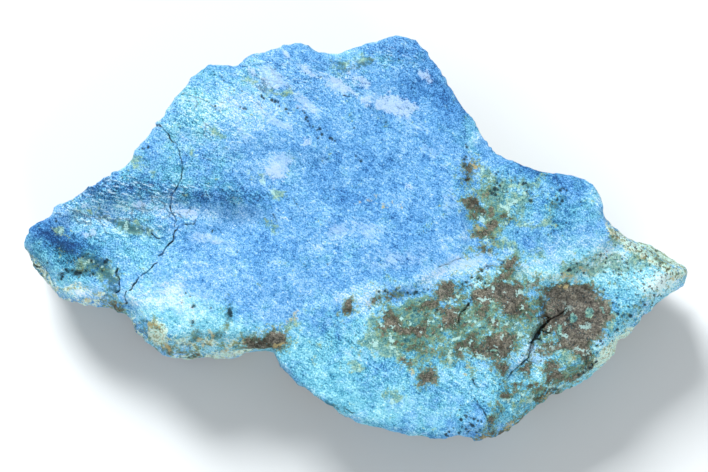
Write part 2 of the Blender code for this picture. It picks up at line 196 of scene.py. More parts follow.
def stroke_depth(columns, rows, stroke):
    """How far points lie inside a stroke of (column, row, half width), in columns; negative outside."""
    best = np.full(len(columns), -np.inf)
    spots = stroke if len(stroke) > 1 else stroke * 2
    for (x0, y0, r0), (x1, y1, r1) in zip(spots, spots[1:]):
        run = np.array([x1 - x0, y1 - y0], dtype=float)
        length = max(float(run @ run), 1e-9)
        share = np.clip(((columns - x0) * run[0] + (rows - y0) * run[1]) / length, 0.0, 1.0)
        distance = np.hypot(columns - x0 - share * run[0], rows - y0 - share * run[1])
        best = np.maximum(best, r0 + share * (r1 - r0) - distance)
    return best


def area_depth(columns, rows, outline):
    """How far points lie inside a closed outline of (column, row), in columns; negative outside."""
    nearest = np.full(len(columns), np.inf)
    inside = np.zeros(len(columns), dtype=bool)
    for (x0, y0), (x1, y1) in zip(outline, outline[1:] + outline[:1]):
        run = np.array([x1 - x0, y1 - y0], dtype=float)
        share = np.clip(((columns - x0) * run[0] + (rows - y0) * run[1]) / (run @ run), 0.0, 1.0)
        nearest = np.minimum(nearest, np.hypot(columns - x0 - share * run[0], rows - y0 - share * run[1]))
        if y0 != y1:
            crossing = x0 + (rows - y0) / (y1 - y0) * (x1 - x0)
            inside ^= ((rows < y0) != (rows < y1)) & (columns < crossing)
    return np.where(inside, nearest, -nearest)


def mark_depth(columns, rows, marks):
    """How far points lie inside the nearest of many marks, in millimetres, and never below -FAR."""
    depth = np.full(len(columns), -REACH)
    for mark in marks:
        measure = stroke_depth if len(mark[0]) == 3 else area_depth
        spread = REACH + (max(spot[2] for spot in mark) if len(mark[0]) == 3 else 0)
        low = np.min(np.array(mark)[:, :2], axis=0) - spread
        high = np.max(np.array(mark)[:, :2], axis=0) + spread
        near = (columns > low[0]) & (columns < high[0]) & (rows > low[1]) & (rows < high[1])
        depth[near] = np.maximum(depth[near], measure(columns[near], rows[near], mark))
    return depth * PIXEL / MM


# %% [markdown]
# # Cracks and grains
#
# Two kinds of mark are cut into the skin as well as coloured: the cracks, which run through the vein, and
# the black grains, which sit in small pits. Both are far narrower than the skin's squares, so the squares
# beside them are cut in four again, and once more along the cracks. A half width near or under nothing
# makes a crack that only shows here and there, where noise widens it. The crack through the brown crust has
# short side cracks, because the crust has crumbled along it.

# %% The cracks and the dark grains
CRACKS = [
    [(152, 127, 0.15), (158, 125, 0.22), (163, 129, 0.22), (169, 135, 0.26), (171, 140, 0.26),
     (176, 143, 0.19), (179, 151, 0.15), (181, 160, 0.11), (183, 169, 0.15), (180, 180, 0.19),
     (177, 187, 0.08), (172, 195, 0.15), (171, 203, 0.19), (170, 209, 0.38), (173, 214, 0.44),
     (176, 221, 0.41), (175, 226, 0.19)],
    [(179, 226, 0.1), (175, 232, 0.3), (173, 240, 0.34), (167, 246, 0.1), (161, 254, 0.3),
     (157, 259, 0.1)],
    [(157, 262, 0.1), (150, 269, 0.3), (146, 272, 0.1), (141, 275, 0.25)],
    [(138, 277, 0.1), (137, 281, 0.34), (133, 285, 0.3), (129, 290, 0.1)],
    [(127, 291, 0.1), (125, 295, 0.34), (125, 299, 0.34), (127, 303, 0.3), (124, 306, 0.3),
     (122, 310, 0.25)],
    [(118, 268, 0.5), (116, 273, 0.45), (118, 277, 0.4), (119, 283, 0.54), (119, 290, 0.59),
     (117, 294, 0.3)],
    [(567, 309, 0.28), (562, 313, 0.37), (556, 317, 0.43), (548, 321, 1.0), (543, 327, 1.7),
     (538, 334, 1.9), (534, 340, 1.5), (531, 345, 0.8), (530, 352, 0.37), (528, 358, 0.31),
     (523, 363, 0.28), (518, 367, 0.31), (512, 372, 0.31), (508, 378, 0.25)],
    [(549, 318, 1.0), (545, 316, 0.5)], [(541, 330, 0.8), (546, 333, 0.9), (550, 333, 0.3)],
    [(536, 337, 1.0), (541, 340, 0.4)], [(533, 343, 0.8), (528, 343, 0.3)],
    [(527, 360, 0.4), (531, 362, 0.1)], [(560, 314, 0.6), (557, 310, 0.2)],
    [(472, 379, 0.4), (475, 384, 0.45), (479, 388, 0.25)],
    [(477, 400, 0.34), (479, 406, 0.4), (484, 410, 0.4), (487, 417, 0.3), (489, 424, 0.3),
     (490, 431, 0.2)],
    [(470, 303, 0.5), (466, 308, 0.5), (461, 312, 0.54), (459, 318, 0.34), (460, 325, 0.5)],
    [(555, 171, 0.4), (557, 176, 0.5), (558, 180, 0.34), (558, 186, 0.2)],
    [(151, 232, 0.4), (154, 235, 0.74), (157, 238, 0.65), (160, 239, 0.25)],
    [(273, 214, 0.0), (275, 219, 0.14), (278, 226, 0.04)],
    [(293, 197, 0.0), (294, 202, 0.06), (298, 206, 0.06), (301, 211, 0.0)],
    [(183, 224, 0.0), (190, 224, 0.0), (195, 224, 0.04), (196, 220, -0.05)],
    [(32, 262, 0.5), (36, 265, 0.65), (39, 267, 0.45)],
    [(258, 103, 0.04), (261, 106, 0.04), (263, 110, 0.0)],
    [(366, 106, -0.6), (372, 109, -0.4), (378, 114, -0.3), (383, 119, -0.2), (387, 122, 0.0)],
    [(296, 78, -0.6), (306, 79, -0.4), (315, 79, -0.3), (325, 77, -0.3), (338, 76, -0.5)],
    [(342, 96, 0.0), (350, 96, 0.0), (356, 97, 0.0)],
    [(345, 408, 0.0), (350, 412, 0.04), (355, 414, 0.0)],
    [(438, 268, -0.1), (448, 264, 0.0), (457, 260, -0.05), (463, 258, -0.05)],
    [(440, 353, -0.05), (444, 357, 0.0), (447, 360, -0.05)],
    [(617, 280, 0.0), (619, 284, 0.06), (620, 287, 0.04)],
]
GRAINS = [
    (222, 77, 1.0), (224, 80, 1.0), (262, 96, 1.4), (264, 98, 1.0), (272, 100, 1.3), (275, 101, 1.7),
    (278, 102, 1.2), (279, 106, 1.2), (286, 109, 1.3), (289, 110, 1.0), (288, 113, 1.0), (298, 108, 0.9),
    (300, 112, 0.8), (303, 111, 0.9), (305, 113, 0.8), (307, 117, 1.6), (306, 119, 1.2), (308, 121, 1.4),
    (310, 126, 1.1), (313, 127, 1.0), (320, 129, 1.7), (317, 130, 0.8), (322, 134, 1.5), (318, 138, 1.2),
    (327, 130, 0.8), (330, 138, 1.5), (332, 139, 1.1), (335, 141, 1.0), (356, 156, 1.3), (361, 161, 1.5),
    (358, 160, 0.6), (386, 122, 0.9), (354, 128, 0.6), (240, 107, 0.8), (244, 108, 1.3), (246, 109, 1.0),
    (215, 106, 0.9), (219, 111, 1.0), (216, 109, 0.7), (242, 91, 0.8), (253, 94, 0.8), (227, 109, 0.6),
    (142, 148, 1.1), (148, 147, 1.4), (144, 149, 0.8), (139, 149, 0.7), (189, 101, 0.8), (183, 163, 0.6),
    (110, 173, 1.2), (86, 188, 1.2), (77, 194, 1.4), (74, 196, 1.0), (56, 221, 1.1), (129, 221, 0.9),
    (194, 306, 1.7), (192, 307, 1.0), (186, 293, 1.0), (190, 296, 0.7), (212, 232, 1.2), (213, 230, 0.8),
    (230, 313, 2.4), (229, 310, 1.6), (231, 316, 1.6), (193, 322, 1.4), (182, 303, 0.5), (268, 262, 0.9),
    (327, 264, 0.8), (237, 252, 0.7), (334, 189, 0.6), (272, 248, 0.6), (211, 308, 0.7), (304, 264, 0.5),
    (105, 262, 2.0), (107, 260, 1.4), (91, 261, 1.2), (83, 257, 1.0), (78, 258, 1.0), (88, 254, 0.9),
    (66, 270, 1.8), (68, 272, 1.4), (62, 277, 1.6), (61, 279, 1.3), (76, 273, 2.0), (80, 273, 1.7),
    (86, 271, 1.4), (93, 274, 1.2), (72, 271, 1.0), (98, 266, 1.2), (102, 271, 1.1), (108, 270, 1.0),
    (90, 276, 1.0), (101, 281, 0.9), (47, 263, 0.8), (50, 246, 0.8), (59, 254, 0.8), (71, 262, 0.9),
    (497, 183, 1.3), (495, 189, 2.0), (492, 193, 1.8), (495, 195, 1.6), (498, 190, 1.3), (490, 191, 1.0),
    (500, 186, 1.0), (496, 174, 1.2), (498, 172, 1.0), (518, 183, 1.2), (523, 184, 1.7), (526, 183, 1.2),
    (528, 187, 1.2), (527, 191, 1.1), (531, 193, 1.0), (531, 201, 1.6), (529, 200, 1.0), (512, 181, 0.9),
    (560, 190, 1.8), (564, 188, 1.4), (567, 190, 1.2), (562, 187, 1.0), (562, 201, 1.6), (557, 200, 1.2),
    (560, 204, 1.2), (552, 202, 0.9), (541, 187, 0.8), (581, 202, 0.9), (582, 205, 0.8), (545, 206, 0.6),
    (551, 233, 1.0), (554, 231, 1.2), (548, 235, 0.8), (558, 226, 1.0), (566, 223, 0.8), (553, 243, 0.8),
    (467, 147, 1.2), (466, 144, 0.8), (465, 159, 1.4), (466, 157, 1.0), (464, 166, 1.0), (466, 180, 1.2),
    (487, 266, 1.0), (488, 268, 0.9), (489, 266, 0.8), (482, 271, 1.3), (503, 262, 1.4), (501, 264, 1.1),
    (459, 286, 1.2), (462, 284, 1.4), (466, 282, 1.2), (472, 277, 1.2), (478, 278, 1.4), (485, 283, 1.4),
    (379, 292, 1.2), (385, 291, 1.3), (388, 293, 1.0), (396, 290, 1.2), (400, 292, 1.0), (408, 293, 1.4),
    (411, 294, 1.0), (416, 292, 1.4), (414, 294, 1.0), (424, 289, 0.9), (428, 290, 0.8), (432, 290, 1.0),
    (437, 310, 1.4), (435, 312, 1.0), (461, 420, 1.5), (466, 416, 1.4), (474, 419, 1.7), (471, 418, 1.0),
    (473, 426, 1.7), (471, 425, 1.2), (478, 421, 1.2), (466, 429, 1.1), (468, 432, 1.0), (459, 433, 1.1),
    (449, 432, 1.4), (446, 435, 1.5), (448, 436, 1.1), (460, 410, 0.8), (462, 426, 0.8), (480, 430, 1.2),
    (476, 433, 1.0), (401, 430, 0.9), (344, 324, 1.0), (337, 327, 0.9), (334, 324, 0.8), (617, 298, 1.2),
    (613, 303, 1.3), (619, 305, 1.0), (618, 314, 1.4), (624, 315, 1.1), (631, 316, 2.0), (643, 317, 1.6),
    (645, 316, 1.2), (618, 330, 1.4), (617, 331, 1.1), (619, 269, 1.2), (619, 275, 1.0), (603, 289, 1.1),
    (605, 290, 0.9), (629, 307, 1.0), (645, 291, 1.0), (643, 302, 1.2), (645, 305, 1.3), (654, 295, 1.1),
    (644, 307, 0.9), (640, 260, 1.1), (641, 271, 0.9), (613, 272, 1.0), (641, 279, 0.8), (627, 290, 0.7),
    (635, 286, 0.6), (650, 286, 0.8), (657, 289, 0.8), (661, 296, 0.9), (666, 291, 0.8), (638, 297, 0.7),
    (633, 300, 0.8), (606, 296, 0.9), (652, 303, 0.7), (622, 259, 1.2), (607, 258, 1.0), (570, 270, 1.8),
    (568, 271, 1.2), (574, 268, 1.1), (577, 264, 0.9), (606, 263, 1.1), (584, 273, 1.0), (592, 261, 0.9),
    (594, 260, 0.8), (615, 256, 0.9), (624, 263, 0.9), (562, 274, 0.9), (601, 255, 1.0), (596, 362, 1.8),
    (592, 364, 1.2), (590, 368, 1.6), (586, 369, 1.2), (578, 374, 1.2), (583, 372, 1.3), (601, 341, 1.2),
    (603, 344, 1.2), (596, 346, 1.1), (609, 335, 0.9), (613, 341, 0.8), (597, 353, 1.0),
]

# %% Smaller squares where the marks are
CRACK_BAND = 6.0
CRACK_CORE = 2.6
GRAIN_BAND = 2.0
FACING_TOP = 0.30
FACING_MARKS = 0.10

facing = normals_of(stone.data) @ -AHEAD
refine(stone.data, facing > FACING_TOP, SMOOTH_ROUNDS)
print("broad face refined:", len(stone.data.vertices), "points")

columns, rows = seen_at(places_of(stone.data))
facing = normals_of(stone.data) @ -AHEAD
crack_depth = mark_depth(columns, rows, CRACKS)
grain_depth = mark_depth(columns, rows, [[grain] for grain in GRAINS])
near_marks = (crack_depth > -CRACK_BAND * PIXEL / MM) | (grain_depth > -GRAIN_BAND * PIXEL / MM)
refine(stone.data, near_marks & (facing > FACING_MARKS), 0)
print("refined beside the marks:", len(stone.data.vertices), "points")

columns, rows = seen_at(places_of(stone.data))
facing = normals_of(stone.data) @ -AHEAD
crack_depth = mark_depth(columns, rows, CRACKS)
refine(stone.data, (crack_depth > -CRACK_CORE * PIXEL / MM) & (facing > FACING_MARKS), 0)
print("refined along the cracks:", len(stone.data.vertices), "points")

# %% [markdown]
# # The stains
#
# A crust of brown rock still sticks to the vein, most of it at the lower right, with islands of green left
# free in it. Beside it the blue turns green. Thin whitish films lie on the upper part, ochre grains along
# the broken front, and the broken edges are cream where the vein is fresh. Dark teal lies in the hollows.
# Near black along the crack through the crust and at the crust's upper edge is painted shade, and the same
# kind also holds dark olive spots on the speckled side and dark lines in and beside the crust. Each kind is
# a list of its own, so that each can have its own colour and height.

# %% Brown crust, and the green islands in it
BROWN = [
    [(240, 345), (250, 338), (262, 334), (272, 329), (282, 331), (289, 338), (286, 345), (276, 349),
     (262, 350), (250, 349)],
    [(591, 367, 1.6), (580, 373, 3.0), (567, 381, 3.0), (555, 391, 2.4)],
    [(548, 398, 1.2), (538, 407, 1.0), (524, 417, 0.8), (508, 427, 0.8), (494, 434, 1.0),
     (480, 439, 1.4)],
    [(152, 325, 1.4), (157, 327, 1.0)], [(165, 347, 1.6), (169, 350, 1.2)],
    [(178, 351, 0.8), (196, 353, 0.8)],
    [(341, 311), (345, 307), (347, 303), (350, 302), (352, 306), (356, 310), (352, 312), (345, 313)],
    [(371, 302, 0.6), (374, 300, 1.2), (378, 300, 0.8)],
    [(385, 297), (387, 293), (392, 293), (396, 291), (400, 294), (401, 297), (393, 298)],
    [(380, 322), (381, 316), (386, 311), (389, 308), (392, 311), (396, 314), (400, 316), (401, 322),
     (405, 325), (412, 327), (419, 326), (424, 330), (423, 336), (420, 339), (412, 338), (404, 337),
     (398, 334), (393, 330), (388, 333), (384, 338), (381, 337), (380, 331), (374, 329), (376, 326)],
    [(434, 295), (436, 288), (441, 285), (446, 282), (452, 281), (455, 284), (455, 292), (453, 299),
     (447, 303), (441, 303), (437, 301)],
    [(425, 303), (432, 300), (440, 303), (448, 303), (456, 308), (461, 313), (461, 319), (458, 324),
     (452, 327), (446, 328), (440, 327), (436, 322), (441, 317), (436, 311), (430, 309)],
    [(457, 291), (460, 288), (466, 285), (470, 283), (469, 288), (464, 291), (459, 293)],
    [(478, 278), (480, 273), (485, 274), (486, 278), (481, 281)],
    [(468, 303), (470, 293), (475, 288), (481, 288), (487, 284), (492, 283), (500, 281), (508, 280),
     (516, 281), (521, 285), (524, 291), (526, 298), (525, 305), (521, 310), (517, 316), (510, 318),
     (504, 318), (499, 315), (496, 309), (498, 304), (492, 302), (486, 303), (478, 304), (473, 304)],
    [(503, 268), (508, 262), (513, 257), (516, 262), (520, 264), (519, 268), (512, 270), (507, 270)],
    [(496, 281), (498, 275), (503, 272), (508, 275), (506, 281)],
    [(527, 281), (534, 281), (540, 282), (542, 287), (538, 294), (533, 290), (528, 287)],
    [(490, 320), (496, 317), (500, 320), (499, 326), (494, 328), (490, 325)],
    [(478, 342), (484, 337), (492, 333), (500, 330), (508, 332), (513, 337), (514, 344), (512, 351),
     (508, 358), (498, 359), (488, 359), (482, 356), (478, 350)],
    [(452, 346), (456, 342), (462, 340), (464, 346), (461, 352), (463, 358), (458, 360), (454, 355)],
    [(464, 335), (470, 333), (475, 338), (479, 345), (480, 352), (474, 356), (467, 352), (463, 345)],
    [(484, 363), (492, 360), (500, 361), (506, 364), (510, 368), (505, 372), (497, 371), (489, 368)],
    [(405, 350), (412, 344), (418, 342), (422, 346), (418, 350), (411, 353)],
    [(400, 360), (404, 357), (408, 360), (405, 365), (401, 366)],
    [(419, 383), (421, 374), (427, 369), (432, 366), (436, 370), (437, 376), (433, 381), (427, 384),
     (422, 386)],
    [(520, 370), (523, 363), (530, 360), (534, 362), (531, 368), (530, 376), (527, 375), (523, 372)],
    [(510, 386), (514, 383), (519, 383), (520, 386), (514, 388)],
    [(526, 388), (528, 384), (534, 383), (539, 386), (538, 389), (531, 391)],
    [(500, 393), (504, 391), (508, 393), (509, 398), (503, 397)],
    [(492, 406), (496, 404), (499, 407), (497, 411), (493, 409)],
    [(485, 420), (490, 417), (493, 422), (489, 427)],
    [(541, 303), (543, 296), (541, 288), (546, 287), (552, 285), (559, 282), (563, 280), (571, 282),
     (580, 282), (588, 285), (594, 286), (600, 293), (603, 300), (609, 303), (613, 308), (612, 314),
     (616, 318), (612, 321), (610, 325), (606, 330), (602, 334), (599, 339), (594, 344), (592, 350),
     (586, 354), (580, 356), (571, 353), (563, 352), (558, 351), (552, 353), (547, 350), (547, 344),
     (554, 340), (552, 334), (546, 334), (541, 332), (544, 326), (541, 320), (538, 316), (543, 310)],
    [(538, 350), (543, 349), (546, 353), (541, 355)],
    [(545, 378), (546, 370), (549, 363), (554, 363), (558, 367), (562, 372), (560, 379), (553, 384),
     (548, 385), (546, 382)],
    [(536, 402), (541, 397), (547, 390), (553, 386), (560, 388), (556, 393), (548, 398), (541, 403)],
    [(582, 357), (588, 352), (592, 350), (591, 355), (586, 360), (581, 364)],
    [(566, 367, 1.2), (571, 364, 1.6), (576, 361, 1.2)],
    [(465, 160), (470, 158), (475, 160), (477, 166), (475, 172), (471, 178), (466, 180), (464, 172),
     (464, 165)],
    [(468, 200), (473, 197), (478, 200), (482, 206), (484, 212), (487, 216), (481, 213), (475, 209),
     (470, 208), (467, 206)],
    [(470, 235), (474, 229), (481, 226), (487, 222), (492, 219), (498, 221), (499, 226), (494, 231),
     (494, 239), (489, 241), (487, 236), (480, 238), (474, 237)],
    [(479, 247), (485, 246), (490, 249), (489, 254), (482, 252)],
    [(502, 216), (507, 217), (512, 220), (508, 223), (503, 220)],
    [(474, 441, 1.6), (490, 437, 1.8), (505, 431, 2.4), (515, 424, 2.4), (524, 417, 1.8),
     (531, 411, 1.6)],
    [(257, 345), (260, 339), (268, 335), (276, 334), (284, 336), (288, 342), (284, 348), (274, 349),
     (264, 349)],
    [(245, 341, 1.5), (249, 338, 1.5)], [(109, 303), (112, 299), (117, 304), (121, 309), (114, 308)],
    [(165, 346), (168, 343), (171, 346), (170, 351), (167, 350)],
]
ISLANDS = [
    [(569, 321), (571, 315), (574, 312), (577, 317), (575, 322), (571, 323)],
    [(556, 333), (557, 327), (562, 325), (563, 330), (561, 335), (558, 336)],
    [(585, 311), (590, 308), (594, 313), (590, 319), (586, 317)], [(601, 307, 1.6), (603, 313, 1.6)],
    [(607, 321), (614, 322), (614, 330), (609, 333), (607, 327)],
    [(558, 356), (562, 352), (570, 353), (574, 357), (568, 361), (560, 362)],
    [(488, 350, 1.2), (493, 351, 1.8), (499, 350, 1.2)], [(490, 303), (495, 302), (496, 308), (491, 309)],
]
print("brown marks:", len(BROWN), "islands in them:", len(ISLANDS))

# %% Green breath and ochre grains
GREEN = [
    [(612, 236, 2.0), (630, 249, 2.4), (646, 260, 2.2), (660, 270, 1.6)],
    [(250, 169, 0.2), (257, 175, 0.9), (266, 184, 0.9), (273, 190, 1.3), (281, 195, 1.0)],
    [(211, 126, 0.6), (218, 134, 1.2), (225, 139, 0.8)], [(190, 152, 1.0), (199, 154, 1.0)],
    [(132, 158, 0.8), (140, 164, 1.4), (148, 170, 1.0)], [(344, 66, 1.4), (356, 62, 1.0), (372, 58, 0.8)],
    [(548, 277, 1.6), (562, 272, 2.4), (580, 266, 2.2), (598, 262, 1.6)],
    [(408, 300), (424, 297), (436, 304), (444, 318), (440, 330), (430, 346), (412, 356), (392, 358),
     (372, 352), (362, 340), (366, 328), (378, 318), (392, 306)],
    [(364, 318), (372, 314), (380, 320), (378, 330), (368, 328)],
    [(430, 346), (436, 344), (437, 354), (430, 360), (424, 356)],
    [(384, 395), (394, 393), (404, 398), (402, 403), (390, 402)],
    [(468, 310), (476, 306), (484, 310), (488, 320), (480, 330), (470, 326)],
    [(500, 270), (512, 270), (524, 274), (530, 281), (518, 281), (504, 280)],
    [(560, 273), (572, 268), (590, 264), (606, 262), (600, 268), (584, 272), (570, 277), (560, 277)],
    [(615, 258), (624, 256), (632, 264), (628, 272), (616, 270)],
    [(478, 182), (488, 186), (498, 196), (510, 206), (506, 216), (492, 214), (482, 204), (478, 194)],
    [(476, 222), (488, 216), (500, 218), (506, 228), (496, 240), (482, 242), (472, 236)],
    [(474, 160), (484, 162), (490, 172), (482, 180), (474, 178)],
    [(520, 225, 4.0), (535, 226, 3.0), (546, 224, 2.0)],
    [(500, 245, 2.0), (512, 248, 4.0), (516, 256, 3.0)], [(534, 252, 2.0), (540, 253, 2.4)],
    [(95, 212, 2.0), (110, 218, 2.6), (124, 224, 3.2), (138, 230, 2.6), (150, 233, 1.4)],
    [(104, 270, 4.0), (112, 278, 6.0), (108, 284, 3.0), (96, 276, 3.0)], [(80, 266, 4.0), (92, 268, 4.0)],
    [(58, 231, 1.6), (62, 229, 1.6)],
    [(251, 174, 0.8), (260, 181, 1.2), (270, 189, 1.5), (278, 195, 1.2), (284, 194, 0.7)],
    [(133, 159, -0.4), (139, 162, 0.6), (146, 168, 0.0), (152, 173, -0.6)],
    [(190, 155, -0.8), (196, 154, 0.0), (200, 153, -0.8)],
    [(214, 128, -0.4), (221, 133, -0.2), (224, 138, -0.6)],
    [(245, 78, -0.7), (256, 82, -0.4), (266, 90, -0.8)],
    [(266, 90, -0.8), (278, 91, -0.6), (290, 93, -0.9)],
    [(335, 66, -0.4), (342, 70, 0.2), (348, 64, -0.4)], [(275, 222, -0.4), (277, 232, 0.0)],
    [(180, 345, 2.0), (188, 342, 3.0), (194, 338, 2.0)],
    [(206, 344, 1.6), (212, 340, 2.4), (219, 333, 2.0), (223, 330, 1.2)],
    [(150, 336, 2.0), (158, 338, 2.5), (162, 344, 2.0)],
    [(236, 346, 1.5), (246, 342, 2.4), (254, 340, 2.0)],
    [(278, 330, 1.6), (286, 326, 2.0), (292, 319, 1.8), (296, 314, 1.2)],
    [(505, 400, 3.0), (512, 405, 3.4), (516, 410, 2.0)],
    [(560, 366), (570, 360), (582, 358), (578, 366), (566, 374), (560, 374)],
    [(356, 362, 1.5), (360, 368, 2.0)],
]
OCHRE = [
    [(361, 202, 0.9)], [(366, 199, 1.0), (370, 202, 1.0)], [(374, 196, 0.9), (378, 195, 1.0)],
    [(371, 205, 1.0)], [(384, 203, 0.9), (386, 206, 1.2)], [(388, 209, 0.9)], [(399, 203, 0.9)],
    [(401, 207, 1.0)], [(355, 203, 0.7)], [(396, 198, 0.7)], [(376, 201, 0.7)], [(392, 201, 0.6)],
    [(468, 367, 1.6), (472, 366, 1.0)], [(467, 374, 1.2)], [(409, 370, 1.2), (412, 373, 1.4)],
    [(563, 274, 1.6), (570, 276, 1.8)], [(574, 279, 1.2), (578, 281, 1.8), (574, 283, 1.4)],
    [(562, 285, 1.6), (567, 286, 1.4)], [(571, 356, 1.6), (574, 357, 1.2)], [(673, 277, 1.4)],
    [(586, 271, 1.6), (580, 269, 1.2)], [(473, 165, 1.6), (475, 170, 1.2)],
    [(478, 229, 1.4), (483, 228, 1.6)], [(490, 219, 1.2)], [(509, 221, 1.2)],
    [(287, 322, 1.6), (293, 317, 1.6), (297, 311, 1.2)], [(296, 318, 1.4)],
    [(276, 345, 2.0), (284, 344, 1.6)], [(222, 351, 1.6), (228, 349, 1.4)], [(242, 341, 1.8)],
    [(168, 344, 1.4)], [(210, 343, 1.4)], [(150, 326, 2.0), (158, 327, 1.6)],
    [(165, 344, 2.4), (170, 348, 1.8)], [(198, 340, 2.2), (204, 345, 1.6)],
    [(214, 336, 1.8), (208, 333, 1.4)], [(190, 347, 1.6)], [(184, 352, 1.4)],
    [(610, 232, 0.7), (622, 241, 0.5)], [(640, 254, 0.6), (652, 262, 0.5)],
    [(86, 300, 1.6), (94, 298, 1.6)], [(124, 297, 1.0)], [(506, 428, 1.4), (514, 423, 1.4)],
    [(542, 399, 1.4), (549, 395, 1.2)], [(480, 441, 1.2), (490, 438, 1.2)],
]
print("green marks:", len(GREEN), "ochre marks:", len(OCHRE))

# %% Whitish films and cream breaks
FILM = [
    [(332, 77), (338, 77), (346, 83), (354, 89), (360, 94), (357, 97), (351, 92), (344, 93), (339, 88),
     (334, 84), (330, 80)],
    [(347, 74), (352, 74), (359, 75), (364, 78), (370, 83), (371, 88), (366, 89), (359, 84), (352, 79)],
    [(362, 97), (367, 98), (372, 103), (375, 106), (368, 106), (364, 102)],
    [(374, 102), (382, 96), (390, 94), (400, 97), (409, 100), (416, 104), (418, 110), (411, 114),
     (409, 120), (404, 117), (396, 115), (388, 115), (382, 110), (376, 107)],
    [(384, 95), (388, 91), (393, 94)],
    [(298, 104), (303, 103), (310, 107), (316, 110), (314, 112), (306, 109), (300, 108)],
    [(302, 64), (308, 68), (314, 76), (310, 78), (304, 72), (299, 68)],
    [(326, 84), (332, 86), (334, 88), (328, 87)],
    [(303, 139), (307, 138), (310, 143), (308, 148), (304, 145)],
    [(264, 168), (272, 164), (280, 168), (286, 176), (282, 181), (272, 180), (264, 176)],
    [(418, 70), (422, 69), (430, 74), (434, 82), (430, 84), (424, 80), (419, 76)],
    [(405, 182), (410, 183), (411, 189), (405, 189)], [(283, 52), (288, 54), (290, 60), (284, 59)],
    [(270, 84), (276, 82), (280, 86), (274, 88)], [(246, 66), (252, 70), (258, 77), (254, 78), (248, 72)],
    [(84, 232), (92, 228), (98, 234), (90, 238)],
    [(176, 211), (184, 209), (194, 211), (200, 216), (190, 218), (180, 215)],
    [(134, 203), (142, 202), (148, 208), (140, 208)], [(156, 208), (166, 209), (168, 213), (158, 213)],
]
CREAM = [
    [(24, 249, 1.4), (31, 257, 2.0), (38, 266, 2.2), (46, 276, 2.6), (52, 286, 3.0), (56, 293, 2.4)],
    [(606, 224, 2.2), (612, 231, 3.4), (622, 239, 4.2), (634, 247, 4.6), (648, 256, 4.6), (662, 266, 4.4),
     (674, 274, 4.6), (684, 272, 4.6)],
    [(684, 286, 1.0), (662, 303, 1.6), (646, 319, 1.8), (630, 332, 3.2), (616, 345, 5.4), (606, 355, 7.5),
     (597, 363, 5.0), (588, 371, 1.6)],
    [(676, 270, 2.0), (686, 270, 2.4), (688, 278, 1.6)],
    [(146, 352, 2.0), (158, 359, 4.0), (176, 361, 4.5), (196, 361, 4.5), (216, 359, 4.5), (238, 357, 4.0),
     (258, 353, 2.0)],
    [(56, 297, 2.0), (64, 303, 3.0), (80, 307, 3.0), (96, 308, 3.0), (110, 310, 2.5)],
    [(66, 290, 1.6), (76, 286, 2.0), (86, 288, 1.6)], [(92, 294, 1.4), (102, 292, 1.8)],
    [(618, 230, 2.0), (630, 237, 4.0), (642, 243, 5.0), (656, 250, 5.0), (670, 258, 5.0),
     (684, 264, 5.0)],
    [(564, 352, 2.0), (570, 358, 3.0)],
    [(472, 443, 1.0), (500, 436, 1.2), (520, 424, 1.4), (534, 412, 2.0), (545, 404, 1.6),
     (560, 391, 1.2)],
    [(150, 320), (158, 318), (166, 326), (170, 338), (166, 348), (156, 346), (148, 334)],
    [(176, 338, 2.6), (186, 342, 2.4), (196, 348, 3.0)], [(204, 340, 2.6), (214, 342, 2.6)],
    [(226, 346, 2.0), (240, 341, 1.6)],
    [(180, 356, 1.6), (192, 356, 1.6), (216, 354, 1.6), (238, 354, 1.6)],
    [(129, 316, 1.2), (136, 328, 1.6), (144, 338, 1.6)],
    [(80, 302, 1.6), (100, 301, 1.8), (108, 303, 1.2)], [(524, 330, 1.4), (527, 326, 1.2)],
    [(586, 353, 0.9), (589, 350, 0.9)], [(605, 337, 1.0), (608, 338, 0.8)],
]
print("films:", len(FILM), "cream breaks:", len(CREAM))
